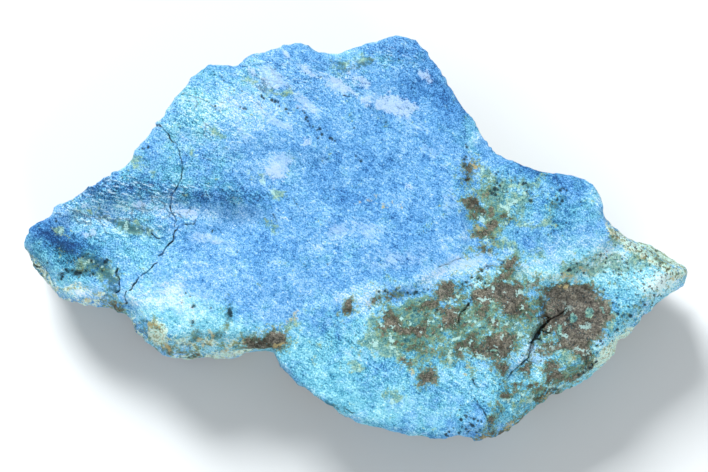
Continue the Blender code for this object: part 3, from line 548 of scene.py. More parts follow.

# %% Teal hollows, and painted shade with dark spots
TEAL = [
    [(134, 331, 1.2), (137, 325, 1.4), (142, 322, 1.2), (149, 320, 0.9), (157, 322, 0.6)],
    [(140, 331, 1.6), (146, 333, 1.2)], [(163, 342, 1.0), (165, 349, 1.2), (170, 352, 0.9)],
    [(198, 332, 0.8), (195, 338, 1.8), (190, 344, 2.0), (188, 350, 1.0)],
    [(178, 346, 1.6), (184, 342, 1.4)],
    [(206, 345, 1.0), (213, 340, 1.6), (219, 334, 1.4), (223, 331, 0.8)],
    [(192, 320, 1.0), (194, 328, 1.0), (197, 334, 0.8)],
    [(228, 297, 1.0), (230, 304, 1.4), (230, 312, 2.6), (229, 318, 1.4), (226, 326, 0.8)],
    [(222, 351, 0.9), (230, 348, 0.8), (238, 344, 0.8)],
    [(84, 256, 3.0), (96, 262, 4.0), (106, 266, 4.0)],
    [(104, 272, 3.0), (112, 280, 4.0), (114, 286, 2.6)],
    [(60, 276, 2.0), (70, 272, 2.4), (84, 272, 2.6), (94, 274, 2.0)],
    [(104, 299, 1.4), (107, 293, 2.0), (113, 289, 1.4), (117, 292, 1.2)],
    [(105, 305, 1.0), (112, 309, 0.9), (121, 310, 0.9)],
    [(100, 213, 1.6), (112, 219, 2.0), (126, 226, 2.6), (140, 230, 1.8), (152, 232, 1.0)],
    [(558, 199, 0.8), (566, 201, 0.6)], [(552, 205, 0.8), (560, 208, 0.6)],
    [(490, 191, 1.2), (498, 186, 1.2)], [(493, 183, 0.8), (500, 181, 0.6)],
    [(516, 180, 0.8), (524, 179, 1.0)], [(524, 186, 0.8), (532, 188, 1.0)],
    [(527, 194, 0.8), (533, 199, 0.8)], [(334, 60, 0.8), (342, 66, 1.3), (347, 71, 1.0)],
    [(347, 70, 1.0), (358, 66, 1.2), (372, 60, 0.8)], [(575, 372, 1.6), (584, 370, 2.4), (591, 366, 2.0)],
    [(500, 262, 0.4), (482, 270, 0.5), (476, 277, 0.5), (462, 284, 0.6)],
    [(505, 401, 2.6), (512, 396, 2.6), (518, 392, 1.6)],
    [(318, 398, 1.0), (324, 402, 1.2), (332, 406, 1.0), (345, 409, 0.8)],
    [(386, 293, 1.0), (398, 294, 1.2), (414, 293, 1.0), (428, 290, 0.8)],
]
# Painted shade along the crack through the crust and at its upper edge, and dark olive spots and lines.
SHADE_AND_DARK_SPOTS = [
    [(614, 233, 0.9), (619, 238, 1.0)], [(627, 243, 1.0), (634, 249, 0.9)],
    [(641, 252, 0.9), (648, 258, 1.0)], [(655, 262, 1.0), (661, 266, 0.8)],
    [(668, 270, 0.9), (674, 273, 0.7)], [(655, 269, 0.6), (668, 277, 0.6)],
    [(541, 300, 2.0), (543, 310, 3.0), (543, 320, 4.0), (538, 332, 4.4), (533, 343, 2.6),
     (530, 352, 1.2)],
    [(545, 290, 1.6), (552, 287, 1.4), (562, 283, 1.2)],
    [(570, 283, 2.0), (584, 286, 2.0), (596, 291, 1.6)], [(549, 378, 2.0), (548, 384, 1.6)],
    [(568, 309, 1.6), (560, 315, 2.0), (551, 320, 2.6)],
    [(466, 159, 1.4), (465, 168, 1.2), (467, 179, 1.4)],
    [(470, 200, 1.6), (478, 205, 1.6), (484, 212, 1.0)],
    [(258, 343, 2.0), (264, 341, 2.6), (270, 346, 1.6)],
    [(470, 286, 1.6), (462, 288, 1.2), (480, 280, 1.4)], [(469, 300, 1.6), (464, 309, 1.4)],
    [(346, 308, 1.6), (352, 310, 1.2)], [(386, 313, 1.6), (396, 318, 1.6)],
    [(536, 400, 1.4), (545, 394, 1.6), (556, 389, 1.4)], [(76, 273, 1.8), (82, 273, 1.4)],
    [(64, 271, 1.6), (62, 277, 1.4)], [(486, 336, 1.6), (500, 345, 1.6), (508, 354, 1.4)],
    [(516, 385, 1.2), (533, 386, 1.2)],
]
kinds = {
    "brown": BROWN, "teal": TEAL, "shade": SHADE_AND_DARK_SPOTS, "islands": ISLANDS,
    "green": GREEN, "ochre": OCHRE, "film": FILM, "cream": CREAM,
}
print({kind: len(marks) for kind, marks in kinds.items()})

# %% [markdown]
# # The ground tone
#
# Under the stains, the blue drifts: violet on the plate, cyan beside it, almost white on the apron at the
# lower left and deep on the nose. Part of the paler and deeper is the blue's own tone, and part is painted
# light and shade: the dark band under the step and the dark nose are partly painted shade, and pale ovals on
# the apron, below the step, on the lower right bevel and on slopes and rims turned from the lamp are painted
# light. A drift has no edge, so it is written as soft ovals that add up. Each has its middle, its half
# widths, its turn and its strength. The first set makes the blue paler or deeper, painted light and shade
# included, the second turns it from violet towards turquoise. Three more say where the surface is silky
# with strands, where a frosty bloom lies on it, and where it is peppered with dark dots.

# %% Paler or deeper, and violet or turquoise
# Some ovals are painted shade, such as the dark band under the step near rows 185 to 198 and the nose; some
# are painted light, such as the pale ovals on slopes and bevels turned from the lamp.
TONE_AND_PAINTED_LIGHT = [
    (170, 300, 44, 24, 12, 0.85), (250, 320, 30, 20, 0, 0.25), (215, 262, 40, 22, 20, 0.15),
    (60, 240, 34, 16, 25, -0.70), (85, 264, 26, 10, 15, -0.45), (225, 197, 45, 8, 0, -0.45),
    (130, 190, 60, 8, -3, -0.35), (185, 213, 26, 6, 5, 0.55), (145, 205, 22, 6, 8, 0.35),
    (190, 110, 34, 26, 35, 0.60), (235, 110, 30, 24, 20, 0.45), (265, 70, 26, 18, 0, 0.30),
    (275, 170, 16, 12, 20, 0.40), (420, 80, 34, 26, 50, -0.35), (395, 48, 26, 14, 0, -0.25),
    (440, 130, 20, 30, 0, -0.15), (325, 165, 24, 20, 0, -0.15), (480, 262, 40, 8, -10, 0.60),
    (560, 252, 40, 10, -20, 0.40), (430, 275, 40, 8, -18, 0.35), (350, 295, 24, 8, -15, 0.45),
    (560, 200, 30, 20, 20, -0.15), (472, 140, 8, 14, 10, 0.45), (660, 285, 20, 12, -40, 0.45),
    (635, 285, 24, 18, -30, 0.10), (530, 345, 8, 26, 30, 0.55), (540, 375, 12, 14, 0, 0.45),
    (80, 292, 24, 8, 5, 0.75), (110, 228, 26, 8, 15, 0.20), (400, 400, 60, 20, 5, 0.10),
    (320, 370, 30, 16, 40, 0.05), (340, 270, 40, 16, 0, 0.10), (495, 300, 60, 30, 0, -0.05),
    (575, 315, 40, 30, 0, -0.10), (240, 230, 50, 16, 0, 0.05), (366, 298, 24, 12, -15, 0.50),
    (455, 274, 34, 8, -18, 0.40), (548, 264, 30, 8, -8, 0.70), (640, 284, 34, 26, -20, 0.45),
    (668, 280, 18, 12, -40, 0.50), (400, 422, 70, 14, 3, 0.45), (58, 240, 30, 11, 25, -0.50),
    (545, 172, 36, 9, 18, -0.65), (190, 105, 30, 24, 35, -0.35), (440, 90, 16, 30, -25, -0.20),
    (90, 212, 34, 14, 5, 0.35), (78, 292, 28, 8, 5, 0.30), (255, 110, 30, 20, 20, 0.25),
    (225, 198, 40, 6, 0, -0.15), (425, 345, 40, 18, 0, -0.35), (505, 205, 20, 34, 0, -0.10),
    (345, 225, 16, 10, 0, -0.15), (330, 240, 30, 18, 0, 0.15), (58, 238, 34, 14, 25, -0.15),
    (190, 345, 56, 12, 0, 0.45), (500, 330, 50, 44, 0, 0.20), (640, 284, 40, 26, -20, 0.25),
    (610, 255, 20, 10, 30, 0.40), (616, 342, 30, 8, -48, 0.70), (225, 195, 50, 9, 0, -0.30),
    (110, 185, 50, 12, -5, -0.20), (540, 172, 44, 10, 18, -0.25), (600, 262, 28, 14, -25, 0.70),
    (632, 296, 26, 18, -20, -0.55), (500, 205, 20, 26, 0, -0.20), (485, 345, 40, 16, 0, 0.30),
    (660, 284, 20, 12, -40, 0.25), (268, 75, 18, 8, 40, 0.40), (302, 70, 12, 6, 30, 0.35),
    (306, 104, 16, 6, 25, 0.40), (280, 115, 16, 8, 25, 0.30), (276, 168, 18, 10, 35, 0.40),
    (363, 230, 24, 9, 0, 0.30), (338, 86, 20, 6, 30, 0.40), (500, 281, 38, 6, -10, 0.50),
    (110, 190, 60, 10, -5, -0.10), (480, 275, 32, 6, -15, 0.60), (545, 277, 22, 8, 0, 0.80),
    (590, 375, 40, 9, -38, 0.35), (400, 232, 40, 14, 0, -0.15), (330, 190, 40, 12, 20, -0.20),
    (90, 215, 30, 12, 10, -0.20), (470, 316, 12, 10, 0, 0.40), (652, 282, 26, 20, -30, -0.20),
    (548, 264, 26, 7, -8, -0.35), (590, 272, 30, 10, -15, 0.35), (372, 310, 12, 12, 0, 0.45),
    (640, 294, 22, 16, 0, 0.22), (400, 150, 60, 40, 30, -0.08), (350, 250, 40, 30, 0, -0.08),
    (560, 225, 30, 20, 0, -0.10), (512, 215, 16, 8, 30, 0.30), (350, 150, 60, 30, 30, -0.10),
    (215, 165, 40, 20, 0, -0.20), (120, 185, 40, 10, 0, -0.15), (440, 90, 18, 36, -25, -0.15),
    (552, 171, 28, 6, 14, 0.25), (640, 282, 36, 22, -20, 0.22), (322, 380, 24, 20, 30, 0.15),
    (270, 72, 40, 16, 20, -0.30), (285, 250, 44, 24, 0, -0.12), (602, 346, 12, 8, -40, 0.35),
    (596, 196, 8, 14, -25, 0.35), (400, 425, 70, 14, 3, -0.35), (395, 50, 26, 14, 0, -0.25),
]
HUE = [
    (60, 262, 60, 30, 20, 0.80), (180, 320, 60, 26, 10, 0.80), (140, 245, 40, 26, 20, 0.45),
    (190, 110, 60, 40, 30, 0.70), (200, 190, 80, 24, 0, 0.35), (250, 75, 40, 20, 0, 0.45),
    (640, 275, 50, 34, 0, 0.90), (500, 205, 34, 40, 0, 0.90), (400, 340, 70, 40, 5, 0.95),
    (500, 340, 60, 60, 0, 0.80), (400, 410, 90, 30, 5, 0.50), (320, 370, 40, 36, 30, 0.75),
    (590, 360, 40, 30, 0, 0.90), (350, 60, 30, 16, 0, 0.35), (470, 140, 12, 20, 0, 0.60),
    (560, 200, 50, 40, 0, 0.30), (560, 260, 40, 14, 0, 0.30), (240, 335, 50, 20, 0, 0.50),
    (100, 225, 70, 40, 0, 0.35), (150, 175, 60, 30, -20, 0.35), (360, 410, 70, 30, 10, 0.35),
    (190, 345, 70, 14, 0, 0.50), (500, 300, 60, 40, 0, 0.30), (400, 60, 40, 14, 0, 0.25),
    (270, 350, 34, 12, 0, 0.80), (400, 330, 60, 40, 0, 0.20), (58, 238, 36, 16, 25, -0.45),
    (590, 375, 44, 14, -38, 0.90), (530, 395, 30, 20, -30, 0.80), (545, 280, 30, 12, 0, 0.60),
    (618, 324, 12, 18, 30, 1.20), (565, 345, 20, 12, 0, 0.50), (505, 405, 26, 22, 0, 0.70),
    (500, 280, 40, 8, -10, 0.60), (645, 285, 40, 30, 0, 0.40), (575, 215, 34, 26, 0, 0.35),
    (590, 272, 30, 14, -15, 0.80), (110, 188, 50, 10, -5, -0.05), (300, 200, 20, 14, 0, 0.25),
    (330, 255, 26, 14, 0, 0.25), (360, 90, 50, 10, 20, 0.20),
]
print("ovals for the tone:", len(TONE_AND_PAINTED_LIGHT), "for the hue:", len(HUE))

# %% Strands, bloom and pepper
STRANDS = [
    (115, 215, 60, 26, 8, 1.00), (150, 190, 70, 14, 0, 0.90), (180, 212, 30, 8, 5, 0.80),
    (200, 120, 60, 40, 30, 0.70), (270, 75, 40, 20, 20, 0.80), (90, 200, 40, 16, -15, 0.80),
    (60, 245, 40, 20, 20, 0.20), (330, 75, 40, 14, 10, 0.60), (180, 350, 80, 16, 0, 0.40),
    (640, 285, 40, 30, 0, 0.45), (540, 345, 20, 50, 30, 0.60), (400, 50, 40, 20, 0, 0.60),
    (180, 305, 44, 22, 10, -0.45), (400, 415, 90, 22, 5, -0.25), (330, 380, 40, 20, 30, -0.20),
    (640, 290, 36, 26, 0, -0.20), (500, 320, 60, 50, 0, 0.30), (60, 240, 30, 14, 25, -0.50),
]
BLOOM = [
    (272, 76, 20, 8, 38, 1.10), (306, 70, 13, 5, 38, 1.00), (338, 85, 20, 6, 36, 1.00),
    (308, 105, 15, 5, 38, 1.00), (278, 122, 20, 6, 28, 0.90), (279, 165, 13, 15, 20, 1.00),
    (335, 229, 10, 9, 0, 0.80), (366, 229, 16, 9, 0, 0.70), (286, 54, 6, 3, 38, 1.00),
    (240, 132, 16, 6, 30, 0.50), (190, 104, 22, 8, 25, 0.40), (325, 160, 10, 6, 30, 0.60),
    (392, 108, 34, 10, 28, 0.70), (430, 150, 22, 14, 60, 0.50), (400, 260, 40, 14, -10, 0.60),
    (450, 205, 14, 22, 0, 0.50), (200, 240, 26, 12, 0, 0.50), (560, 262, 34, 8, -8, 0.70),
    (540, 350, 14, 20, 30, 0.80), (470, 262, 40, 9, -12, 0.70), (600, 335, 10, 8, 0, 0.70),
    (360, 350, 30, 16, 20, 0.40),
]
PEPPER = [
    (640, 290, 36, 26, -20, 1.50), (652, 252, 50, 12, 33, 2.00), (582, 366, 34, 8, -38, 1.30),
    (640, 312, 44, 8, -42, 1.20), (625, 262, 30, 12, 25, 0.90), (90, 266, 34, 12, 10, 0.90),
    (540, 195, 50, 20, 10, 0.60), (470, 425, 26, 14, 0, 0.90), (240, 95, 40, 20, 20, 0.50),
    (420, 320, 90, 40, 0, 1.00), (500, 205, 30, 50, 0, 0.80), (600, 265, 40, 12, 0, 0.90),
    (200, 345, 80, 10, 0, 0.70), (570, 320, 50, 40, 0, 0.80), (490, 410, 40, 24, 0, 0.70),
    (370, 60, 50, 14, 0, 0.50), (510, 345, 50, 50, 0, 0.80),
]


def drift(columns, rows, ovals):
    """The sum of soft ovals at each point."""
    total = np.zeros(len(columns))
    for column, row, half_width, half_height, turn, strength in ovals:
        cosine = math.cos(math.radians(turn))
        sine = math.sin(math.radians(turn))
        lengthwise = (columns - column) * cosine + (rows - row) * sine
        crosswise = (rows - row) * cosine - (columns - column) * sine
        total += strength * np.exp(-((lengthwise / half_width) ** 2) - (crosswise / half_height) ** 2)
    return total


def keep(mesh, name, values):
    """Store one number for each point of a mesh."""
    layer = mesh.attributes.new(name, "FLOAT", "POINT")
    layer.data.foreach_set("value", np.asarray(values, dtype=np.float32))


print("ovals for strands, bloom and pepper:", len(STRANDS), len(BLOOM), len(PEPPER))

# %% [markdown]
# # What the eye sees
#
# The marks are laid on along the line of sight, so they must stop where that line first meets the stone. A
# point that faces away from the eye is hidden, and so is one with a ledge in front of it. For the second
# kind a ray goes from just over each point towards the eye, and the point is hidden where the ray meets the
# stone again.

# %% Hidden points
LIFT = 0.10 * MM
SIGHT_REACH = 40.0 * MM
TURNED_AWAY = (0.05, -0.45)

places = places_of(stone.data)
normals = normals_of(stone.data)
columns, rows = seen_at(places)
facing = normals @ -AHEAD
sheet = BVHTree.FromPolygons(places.tolist(), [tuple(face.vertices) for face in stone.data.polygons])
blocked = np.array([
    sheet.ray_cast(Vector(start), Vector(sight), SIGHT_REACH)[0] is not None
    for start, sight in zip(places + LIFT * normals, EYE - places)
])
hidden = np.maximum(smooth_step(*TURNED_AWAY, facing), blocked)
print("points on the broad face behind a ledge:", int((blocked & (facing > FACING_TOP)).sum()))
print("points that the eye can't see:", int((hidden > 0.5).sum()), "of", len(hidden))

# %% [markdown]
# # Where the eye doesn't reach
#
# Nothing shows what the walls and the underside look like, so they are finished as the rest of such a vein
# breaks: blue and green ground, brown crust of the host rock on about a quarter of it, and cream fresh
# breaks. Three-dimensional noise decides where, because it wraps round corners without a seam. On the face
# the same noise bends the drawn marks a little, so that no straight stroke shows, and strews crumbs of
# brown and green round the crusts, where they are too small and too many to be drawn.

# %% Noise on the points


def cloud(places, size, seed, octaves=3):
    """Fractal noise at each place, its largest swells this many millimetres wide."""
    scale = 1.0 / (size * MM)
    shift = Vector((7.3, 3.1, 5.7)) * seed
    return np.array([noise.fractal(Vector(place) * scale + shift, 0.8, 2.1, octaves) for place in places])


print("noise at the first point:", round(float(cloud(places[:1], 0.9, 41)[0]), 4))

# %% The marks, bent, and the crumbs round them
WARP_BROAD = 2.4
WARP_FINE = 1.5
warped_columns = columns + WARP_BROAD * cloud(places, 0.9, 41) + WARP_FINE * cloud(places, 0.3, 42)
warped_rows = rows + WARP_BROAD * cloud(places, 0.9, 43) + WARP_FINE * cloud(places, 0.3, 44)
depths = {kind: mark_depth(warped_columns, warped_rows, marks) for kind, marks in kinds.items()}
SPRINKLES = {
    "brown": [
        (500, 300, 46, 34, 0, 1.1), (430, 325, 56, 28, 5, 1.2), (490, 350, 44, 20, 0, 1.0),
        (575, 320, 36, 30, 0, 1.0), (552, 382, 24, 14, -30, 1.0), (484, 212, 18, 38, 0, 1.1),
        (420, 348, 26, 10, 0, 0.6), (574, 371, 24, 7, -38, 1.2), (520, 425, 36, 6, -25, 1.1),
        (510, 400, 24, 20, 0, 0.6), (90, 268, 30, 10, 10, 0.5), (270, 342, 24, 8, 0, 0.8),
        (645, 300, 34, 8, -40, 0.7), (200, 345, 60, 8, 0, 0.45), (652, 253, 46, 11, 33, 0.9),
    ],
    "green": [
        (420, 330, 60, 34, 5, 1.5), (500, 320, 56, 50, 0, 1.3), (495, 205, 34, 44, 0, 1.3),
        (592, 268, 44, 11, -12, 1.3), (624, 264, 22, 9, 20, 1.2), (96, 268, 34, 14, 10, 0.8),
        (575, 330, 44, 36, 0, 0.8), (652, 253, 50, 12, 33, 1.2), (574, 369, 28, 9, -38, 1.4),
        (530, 396, 30, 14, -30, 1.1), (200, 342, 70, 12, 0, 0.7), (540, 195, 36, 20, 0, 0.6),
        (320, 360, 30, 24, 40, 0.5), (120, 225, 40, 10, 20, 0.6),
    ],
}
SPRINKLE_LOW = -0.75
SPRINKLE_GAIN = 0.72
SPRINKLE_MOST = {"brown": 0.90, "green": 1.45}
for kind, ovals in SPRINKLES.items():
    most = SPRINKLE_MOST[kind]
    sprinkle = SPRINKLE_LOW + SPRINKLE_GAIN * np.clip(drift(columns, rows, ovals), 0.0, most)
    depths[kind] = np.maximum(depths[kind], sprinkle)
print("brown share of all points:", round(float((depths["brown"] > 0).mean()), 2))

# %% Stains on the walls and the underside
UNSEEN_TONE = 0.45
UNSEEN_TONE_SIZE = 5.0
UNSEEN_HUE = (0.6, 0.5)
UNSEEN_HUE_SIZE = 6.0

unseen = np.flatnonzero(hidden > 0.0)
share = hidden[unseen]
# Each stain: the size of its patches in millimetres, then the seed, the height and the level of its noise.
unseen_stains = {
    "brown": (4.5, 11, 1.1, -0.25),
    "green": (3.0, 12, 1.1, -0.20),
    "cream": (3.5, 13, 1.0, -0.55),
    "islands": (2.0, 14, 1.0, -0.70),
    "ochre": (1.6, 15, 0.8, -0.80),
    "film": (3.0, 16, 0.9, -0.60),
    "teal": (1.8, 17, 0.8, -0.45),
    "shade": (1.5, 18, 0.8, -0.60),
}
for kind, (size, seed, height, level) in unseen_stains.items():
    patchy = height * cloud(places[unseen], size, seed) + level
    depths[kind][unseen] = depths[kind][unseen] * (1.0 - share) + patchy * share
tone = drift(columns, rows, TONE_AND_PAINTED_LIGHT)
hue = drift(columns, rows, HUE)
unseen_tone = UNSEEN_TONE * cloud(places[unseen], UNSEEN_TONE_SIZE, 21)
unseen_hue = UNSEEN_HUE[0] + UNSEEN_HUE[1] * cloud(places[unseen], UNSEEN_HUE_SIZE, 22)
tone[unseen] = tone[unseen] * (1.0 - share) + unseen_tone * share
hue[unseen] = hue[unseen] * (1.0 - share) + unseen_hue * share
print("brown share of the unseen side:", round(float((depths["brown"][unseen] > 0).mean()), 2))

# %% Cracks that wobble, and grains
CRACK_WOBBLE = 1.3
CRACK_RAGGED = 0.03
wobbly_columns = columns + CRACK_WOBBLE * cloud(places, 0.40, 45, 2)
wobbly_rows = rows + CRACK_WOBBLE * cloud(places, 0.40, 46, 2)
crack_depth = mark_depth(wobbly_columns, wobbly_rows, CRACKS) + CRACK_RAGGED * cloud(places, 0.7, 47, 2)
grain_depth = mark_depth(columns, rows, [[grain] for grain in GRAINS])
crack_depth[unseen] = crack_depth[unseen] * (1.0 - share) - FAR * share
grain_depth[unseen] = grain_depth[unseen] * (1.0 - share) - FAR * share
print("points in cracks and in grains:", int((crack_depth > 0).sum()), int((grain_depth > 0).sum()))

# %% [markdown]
# # Relief
#
# Several stains also have a height. The films and the crust stand a few hundredths of a millimetre over the
# blue, the grains sit in pits, the cracks are narrow grooves, and the whole face has the fine grain of a
# matted fibre, rougher on the crust, the cream breaks and the green. The rim crumbles where the face turns
# down, and on the walls the grain is coarser, as the vein broke there. All of it moves real points, so that
# the raking light finds it from any side. One chip is missing from the front rim, where a dent half a
# millimetre deep is pushed back into it. No point may leave the box of the imported solid.

# %% Heights of the relief, in millimetres
GRAIN_HEIGHT = 0.020
GRIT_HEIGHT = 0.045
WALL_HEIGHT = 0.16
RIM_HEIGHT = 0.14
CRACK_DEPTH = 0.16
PIT_DEPTH = 0.06
FILM_HEIGHT = 0.022
CRUST_HEIGHT = 0.05
FILM_EDGE = (-0.05, 0.05)
CRUST_EDGE = (-0.08, 0.08)
PIT_EDGE = (-0.05, 0.04)
CRACK_EDGE = (-0.045, 0.035)
RIM_FACING = (0.85, 0.45)
WALL_FACING = (0.55, 0.0)

fine = cloud(places, 0.45, 31, 3)
coarse = cloud(places, 1.6, 32, 3)
lumps = cloud(places, 2.6, 33, 4)
rough = np.clip(smooth_step(-0.6, 0.2, depths["brown"]) + smooth_step(-0.5, 0.1, depths["cream"]), 0.0, 1.0)
rough = np.clip(rough + 0.5 * smooth_step(-0.3, 0.2, depths["green"]), 0.0, 1.0)
height = GRAIN_HEIGHT * fine * (1.0 + rough) + GRIT_HEIGHT * coarse * (0.5 + rough)
height += RIM_HEIGHT * cloud(places, 0.7, 34, 4) * smooth_step(*RIM_FACING, facing)
height += WALL_HEIGHT * lumps * smooth_step(*WALL_FACING, facing)
height += FILM_HEIGHT * smooth_step(*FILM_EDGE, depths["film"] + 0.12 * coarse)
height += CRUST_HEIGHT * smooth_step(*CRUST_EDGE, depths["brown"] + 0.20 * fine)
height -= PIT_DEPTH * smooth_step(*PIT_EDGE, grain_depth)
height -= CRACK_DEPTH * smooth_step(*CRACK_EDGE, crack_depth)
print("relief, mm: lowest", round(float(height.min()), 3), "highest", round(float(height.max()), 3))

# %% Move the points; the chip's sides are columns and its front is a row
CHIP_DEPTH = 0.50
CHIP_LEFT = (212, 250)
CHIP_RIGHT = (284, 272)
CHIP_FRONT = (346, 358)
BACK_FACING = 0.3

low, high = (np.array(corner) for corner in solid_box)
moved = places + height[:, None] * MM * normals
chip = smooth_step(*CHIP_LEFT, columns) * smooth_step(*CHIP_RIGHT, columns) * smooth_step(*CHIP_FRONT, rows)
moved[:, 1] += CHIP_DEPTH * MM * chip * (normals[:, 1] < BACK_FACING)
stone.data.vertices.foreach_set("co", np.clip(moved, low, high).ravel())
print("farthest that a point moved, mm:", round(float(np.abs(moved - places).max()) / MM, 3))

# %% Keep the measures on the points and cut the faces into triangles
for kind, values in depths.items():
    keep(stone.data, kind, values)
keep(stone.data, "tone", tone)
keep(stone.data, "hue", hue)
# Each soft set: its ovals, its least and most, and its level where the eye doesn't reach.
soft_sets = {
    "strands": (STRANDS, -0.6, 1.0, 0.4),
    "bloom": (BLOOM, 0.0, 1.2, 0.0),
    "pepper": (PEPPER, 0.0, 1.6, 0.7),
}
for name, (ovals, least, most, unseen_level) in soft_sets.items():
    seen_level = np.clip(drift(columns, rows, ovals), least, most)
    keep(stone.data, name, seen_level * (1.0 - hidden) + unseen_level * hidden)
keep(stone.data, "crack", crack_depth)
keep(stone.data, "grain", grain_depth)

finished = bmesh.new()
finished.from_mesh(stone.data)
bmesh.ops.triangulate(finished, faces=finished.faces)
finished.to_mesh(stone.data)
finished.free()
for face in stone.data.polygons:
    face.use_smooth = True
print("finished stone:", len(stone.data.polygons), "triangles")

# %% [markdown]
# # Writing a material as sums
#
# A material is a web of small nodes, and most of them are plain arithmetic. The class below wraps one
# socket, so that masks can be added, multiplied and inverted as in any other Python expression, and each
# operator adds its Math node. Everything else, such as noise or a colour mix, goes through one method.

# %% Sockets that do sums


class Shade:
    """A value that changes over the surface: one output socket of a material's nodes."""

    def __init__(self, tree, socket=None):
        self.tree = tree
        self.socket = socket

    def node(self, kind, settings, values, output=0):
        """Add a node, with its settings set first, then the values or links of its sockets."""
        made = self.tree.nodes.new(kind)
        for name, setting in settings.items():
            if name == "stops":
                self.fill(made.color_ramp, setting)
            else:
                setattr(made, name, setting)
        for name, value in values.items():
            if isinstance(value, Shade):
                self.tree.links.new(value.socket, made.inputs[name])
            else:
                made.inputs[name].default_value = value
        return Shade(self.tree, made.outputs[output])

    def fill(self, ramp, stops):
        """Give a colour ramp its stops, each a place and a colour."""
        while len(ramp.elements) < len(stops):
            ramp.elements.new(1.0)
        for element, (place, colour) in zip(ramp.elements, stops):
            element.position = place
            element.color = colour

    def sum_of(self, operation, *values):
        return self.node("ShaderNodeMath", {"operation": operation}, dict(enumerate(values)))

    def __add__(self, other):
        return self.sum_of("ADD", self, other)

    def __radd__(self, other):
        return self.sum_of("ADD", other, self)

    def __sub__(self, other):
        return self.sum_of("SUBTRACT", self, other)

    def __rsub__(self, other):
        return self.sum_of("SUBTRACT", other, self)

    def __mul__(self, other):
        return self.sum_of("MULTIPLY", self, other)

    def __rmul__(self, other):
        return self.sum_of("MULTIPLY", other, self)


def new_material(name):
    """An empty material and the start of its nodes."""
    material = bpy.data.materials.new(name)
    material.use_nodes = True
    material.node_tree.nodes.clear()
    return material, Shade(material.node_tree)


def linear(red, green, blue):
    """A colour from 0-255 screen values, as light."""
    parts = [part / 255.0 for part in (red, green, blue)]
    return tuple(p / 12.92 if p <= 0.04045 else ((p + 0.055) / 1.055) ** 2.4 for p in parts) + (1.0,)


# %% [markdown]
# # The stone's material
#
# The blue is matted fibre, dull and slightly silky, and no two square millimetres are the same. Its colour
# comes from one number, the tone, that a ramp turns into deep, middle or pale blue. The soft ovals set it,
# with painted light and painted shade among them, and several sizes of noise move it up and down, the finest
# as fine as the fibre and some of it combed in one direction. A second ramp does the same in turquoise, and
# the hue picks between them.
#
# The stains go on top in the order in which they lie on the stone: pale strands, dark hairlines and frosty
# bloom in the blue, then films, green and teal, then the cream breaks with their olive crumbs, and the
# brown crust with an olive fringe round it. Pale flakes, painted shade with dark spots, ochre, dark dots and
# grains come last, and then the cracks, painted near black inside as shade.

# %% Helpers for masks and noise
material, start = new_material("aerinite_blue_vein")
position = start.node("ShaderNodeTexCoord", {}, {}, output=3)


def mark(name):
    """How far inside a kind of mark the surface lies, in millimetres."""
    return start.node("ShaderNodeAttribute", {"attribute_name": name}, {}, output=2)


def grainy(size, detail=3.0, roughness=0.6, vector=None):
    """Noise of about -0.5 to 0.5, its largest grains this many millimetres wide."""
    values = {"Vector": vector or position, "Scale": 1.0 / (size * MM)}
    values |= {"Detail": detail, "Roughness": roughness}
    return start.node("ShaderNodeTexNoise", {"noise_dimensions": "3D"}, values) - 0.5


def between(value, low, high):
    """0 below low, 1 above high, with a soft turn between."""
    settings = {"interpolation_type": "SMOOTHSTEP"}
    return start.node("ShaderNodeMapRange", settings, {0: value, 1: low, 2: high, 3: 0.0, 4: 1.0})


def mixed(base, top, mask):
    """A colour laid over another where the mask is 1."""
    return start.node("ShaderNodeMix", {"data_type": "RGBA"}, {0: mask, 6: base, 7: top}, output=2)


def ramp(value, stops):
    """The colour that a ramp gives a number; each stop is a place and a colour of 0-255 screen values."""
    lit_stops = [(place, linear(*screen)) for place, screen in stops]
    return start.node("ShaderNodeValToRGB", {"stops": lit_stops}, {0: value})


def along(turn, stretch):
    """The position stretched along a direction in the ground plane, for streaks."""
    settings = {"vector_type": "TEXTURE"}
    values = {"Vector": position, "Rotation": (0.0, 0.0, math.radians(turn)), "Scale": (stretch, 1.0, 1.0)}
    return start.node("ShaderNodeMapping", settings, values)


def shifted(distance):
    """The position moved by some millimetres, so that a second noise doesn't repeat the first."""
    values = {0: position, 1: (distance * MM, 2.0 * distance * MM, 0.5 * distance * MM)}
    return start.node("ShaderNodeVectorMath", {"operation": "ADD"}, values)


print("new material:", material.name)

# %% Noise for the stone, and a web of bent hairlines
STREAK_TURN = -16.0
COMB_TURN = -37.0
HAIR_STRETCH = 2.6
HAIR_CELL = 1.1
# The noise that bends the hairlines has 900 swells to a metre, about 1.1 mm each.
SWERVE_SCALE = 900.0
SWERVE = 0.9

dust = grainy(0.10, 3.0, 0.75)
fleck = grainy(0.32, 5.0, 0.75)
mottle = grainy(1.3, 4.0, 0.6)
drifts = grainy(5.0, 2.0)
streaks = grainy(0.16, 4.0, 0.7, along(STREAK_TURN, 5.0))
combed = grainy(0.13, 4.0, 0.7, along(COMB_TURN, 6.0))
blush = grainy(1.1, 4.0, 0.65, shifted(3.0))
speck = grainy(0.26, 4.0, 0.7, shifted(5.0))
pip = grainy(0.20, 1.0, 0.5, shifted(7.0))
flake = grainy(0.55, 3.0, 0.55, shifted(9.0))
swirl_values = {"Vector": position, "Scale": SWERVE_SCALE}
swirl = start.node("ShaderNodeTexNoise", {"noise_dimensions": "3D"}, swirl_values, output=1)
swerve = start.node("ShaderNodeVectorMath", {"operation": "SCALE"}, {0: swirl, 3: SWERVE * MM})
bent_values = {0: along(COMB_TURN, HAIR_STRETCH), 1: swerve}
bent = start.node("ShaderNodeVectorMath", {"operation": "ADD"}, bent_values)
web_values = {"Vector": bent, "Scale": 1.0 / (HAIR_CELL * MM)}
web = start.node("ShaderNodeTexVoronoi", {"feature": "DISTANCE_TO_EDGE"}, web_values)
print("nodes so far:", len(material.node_tree.nodes))

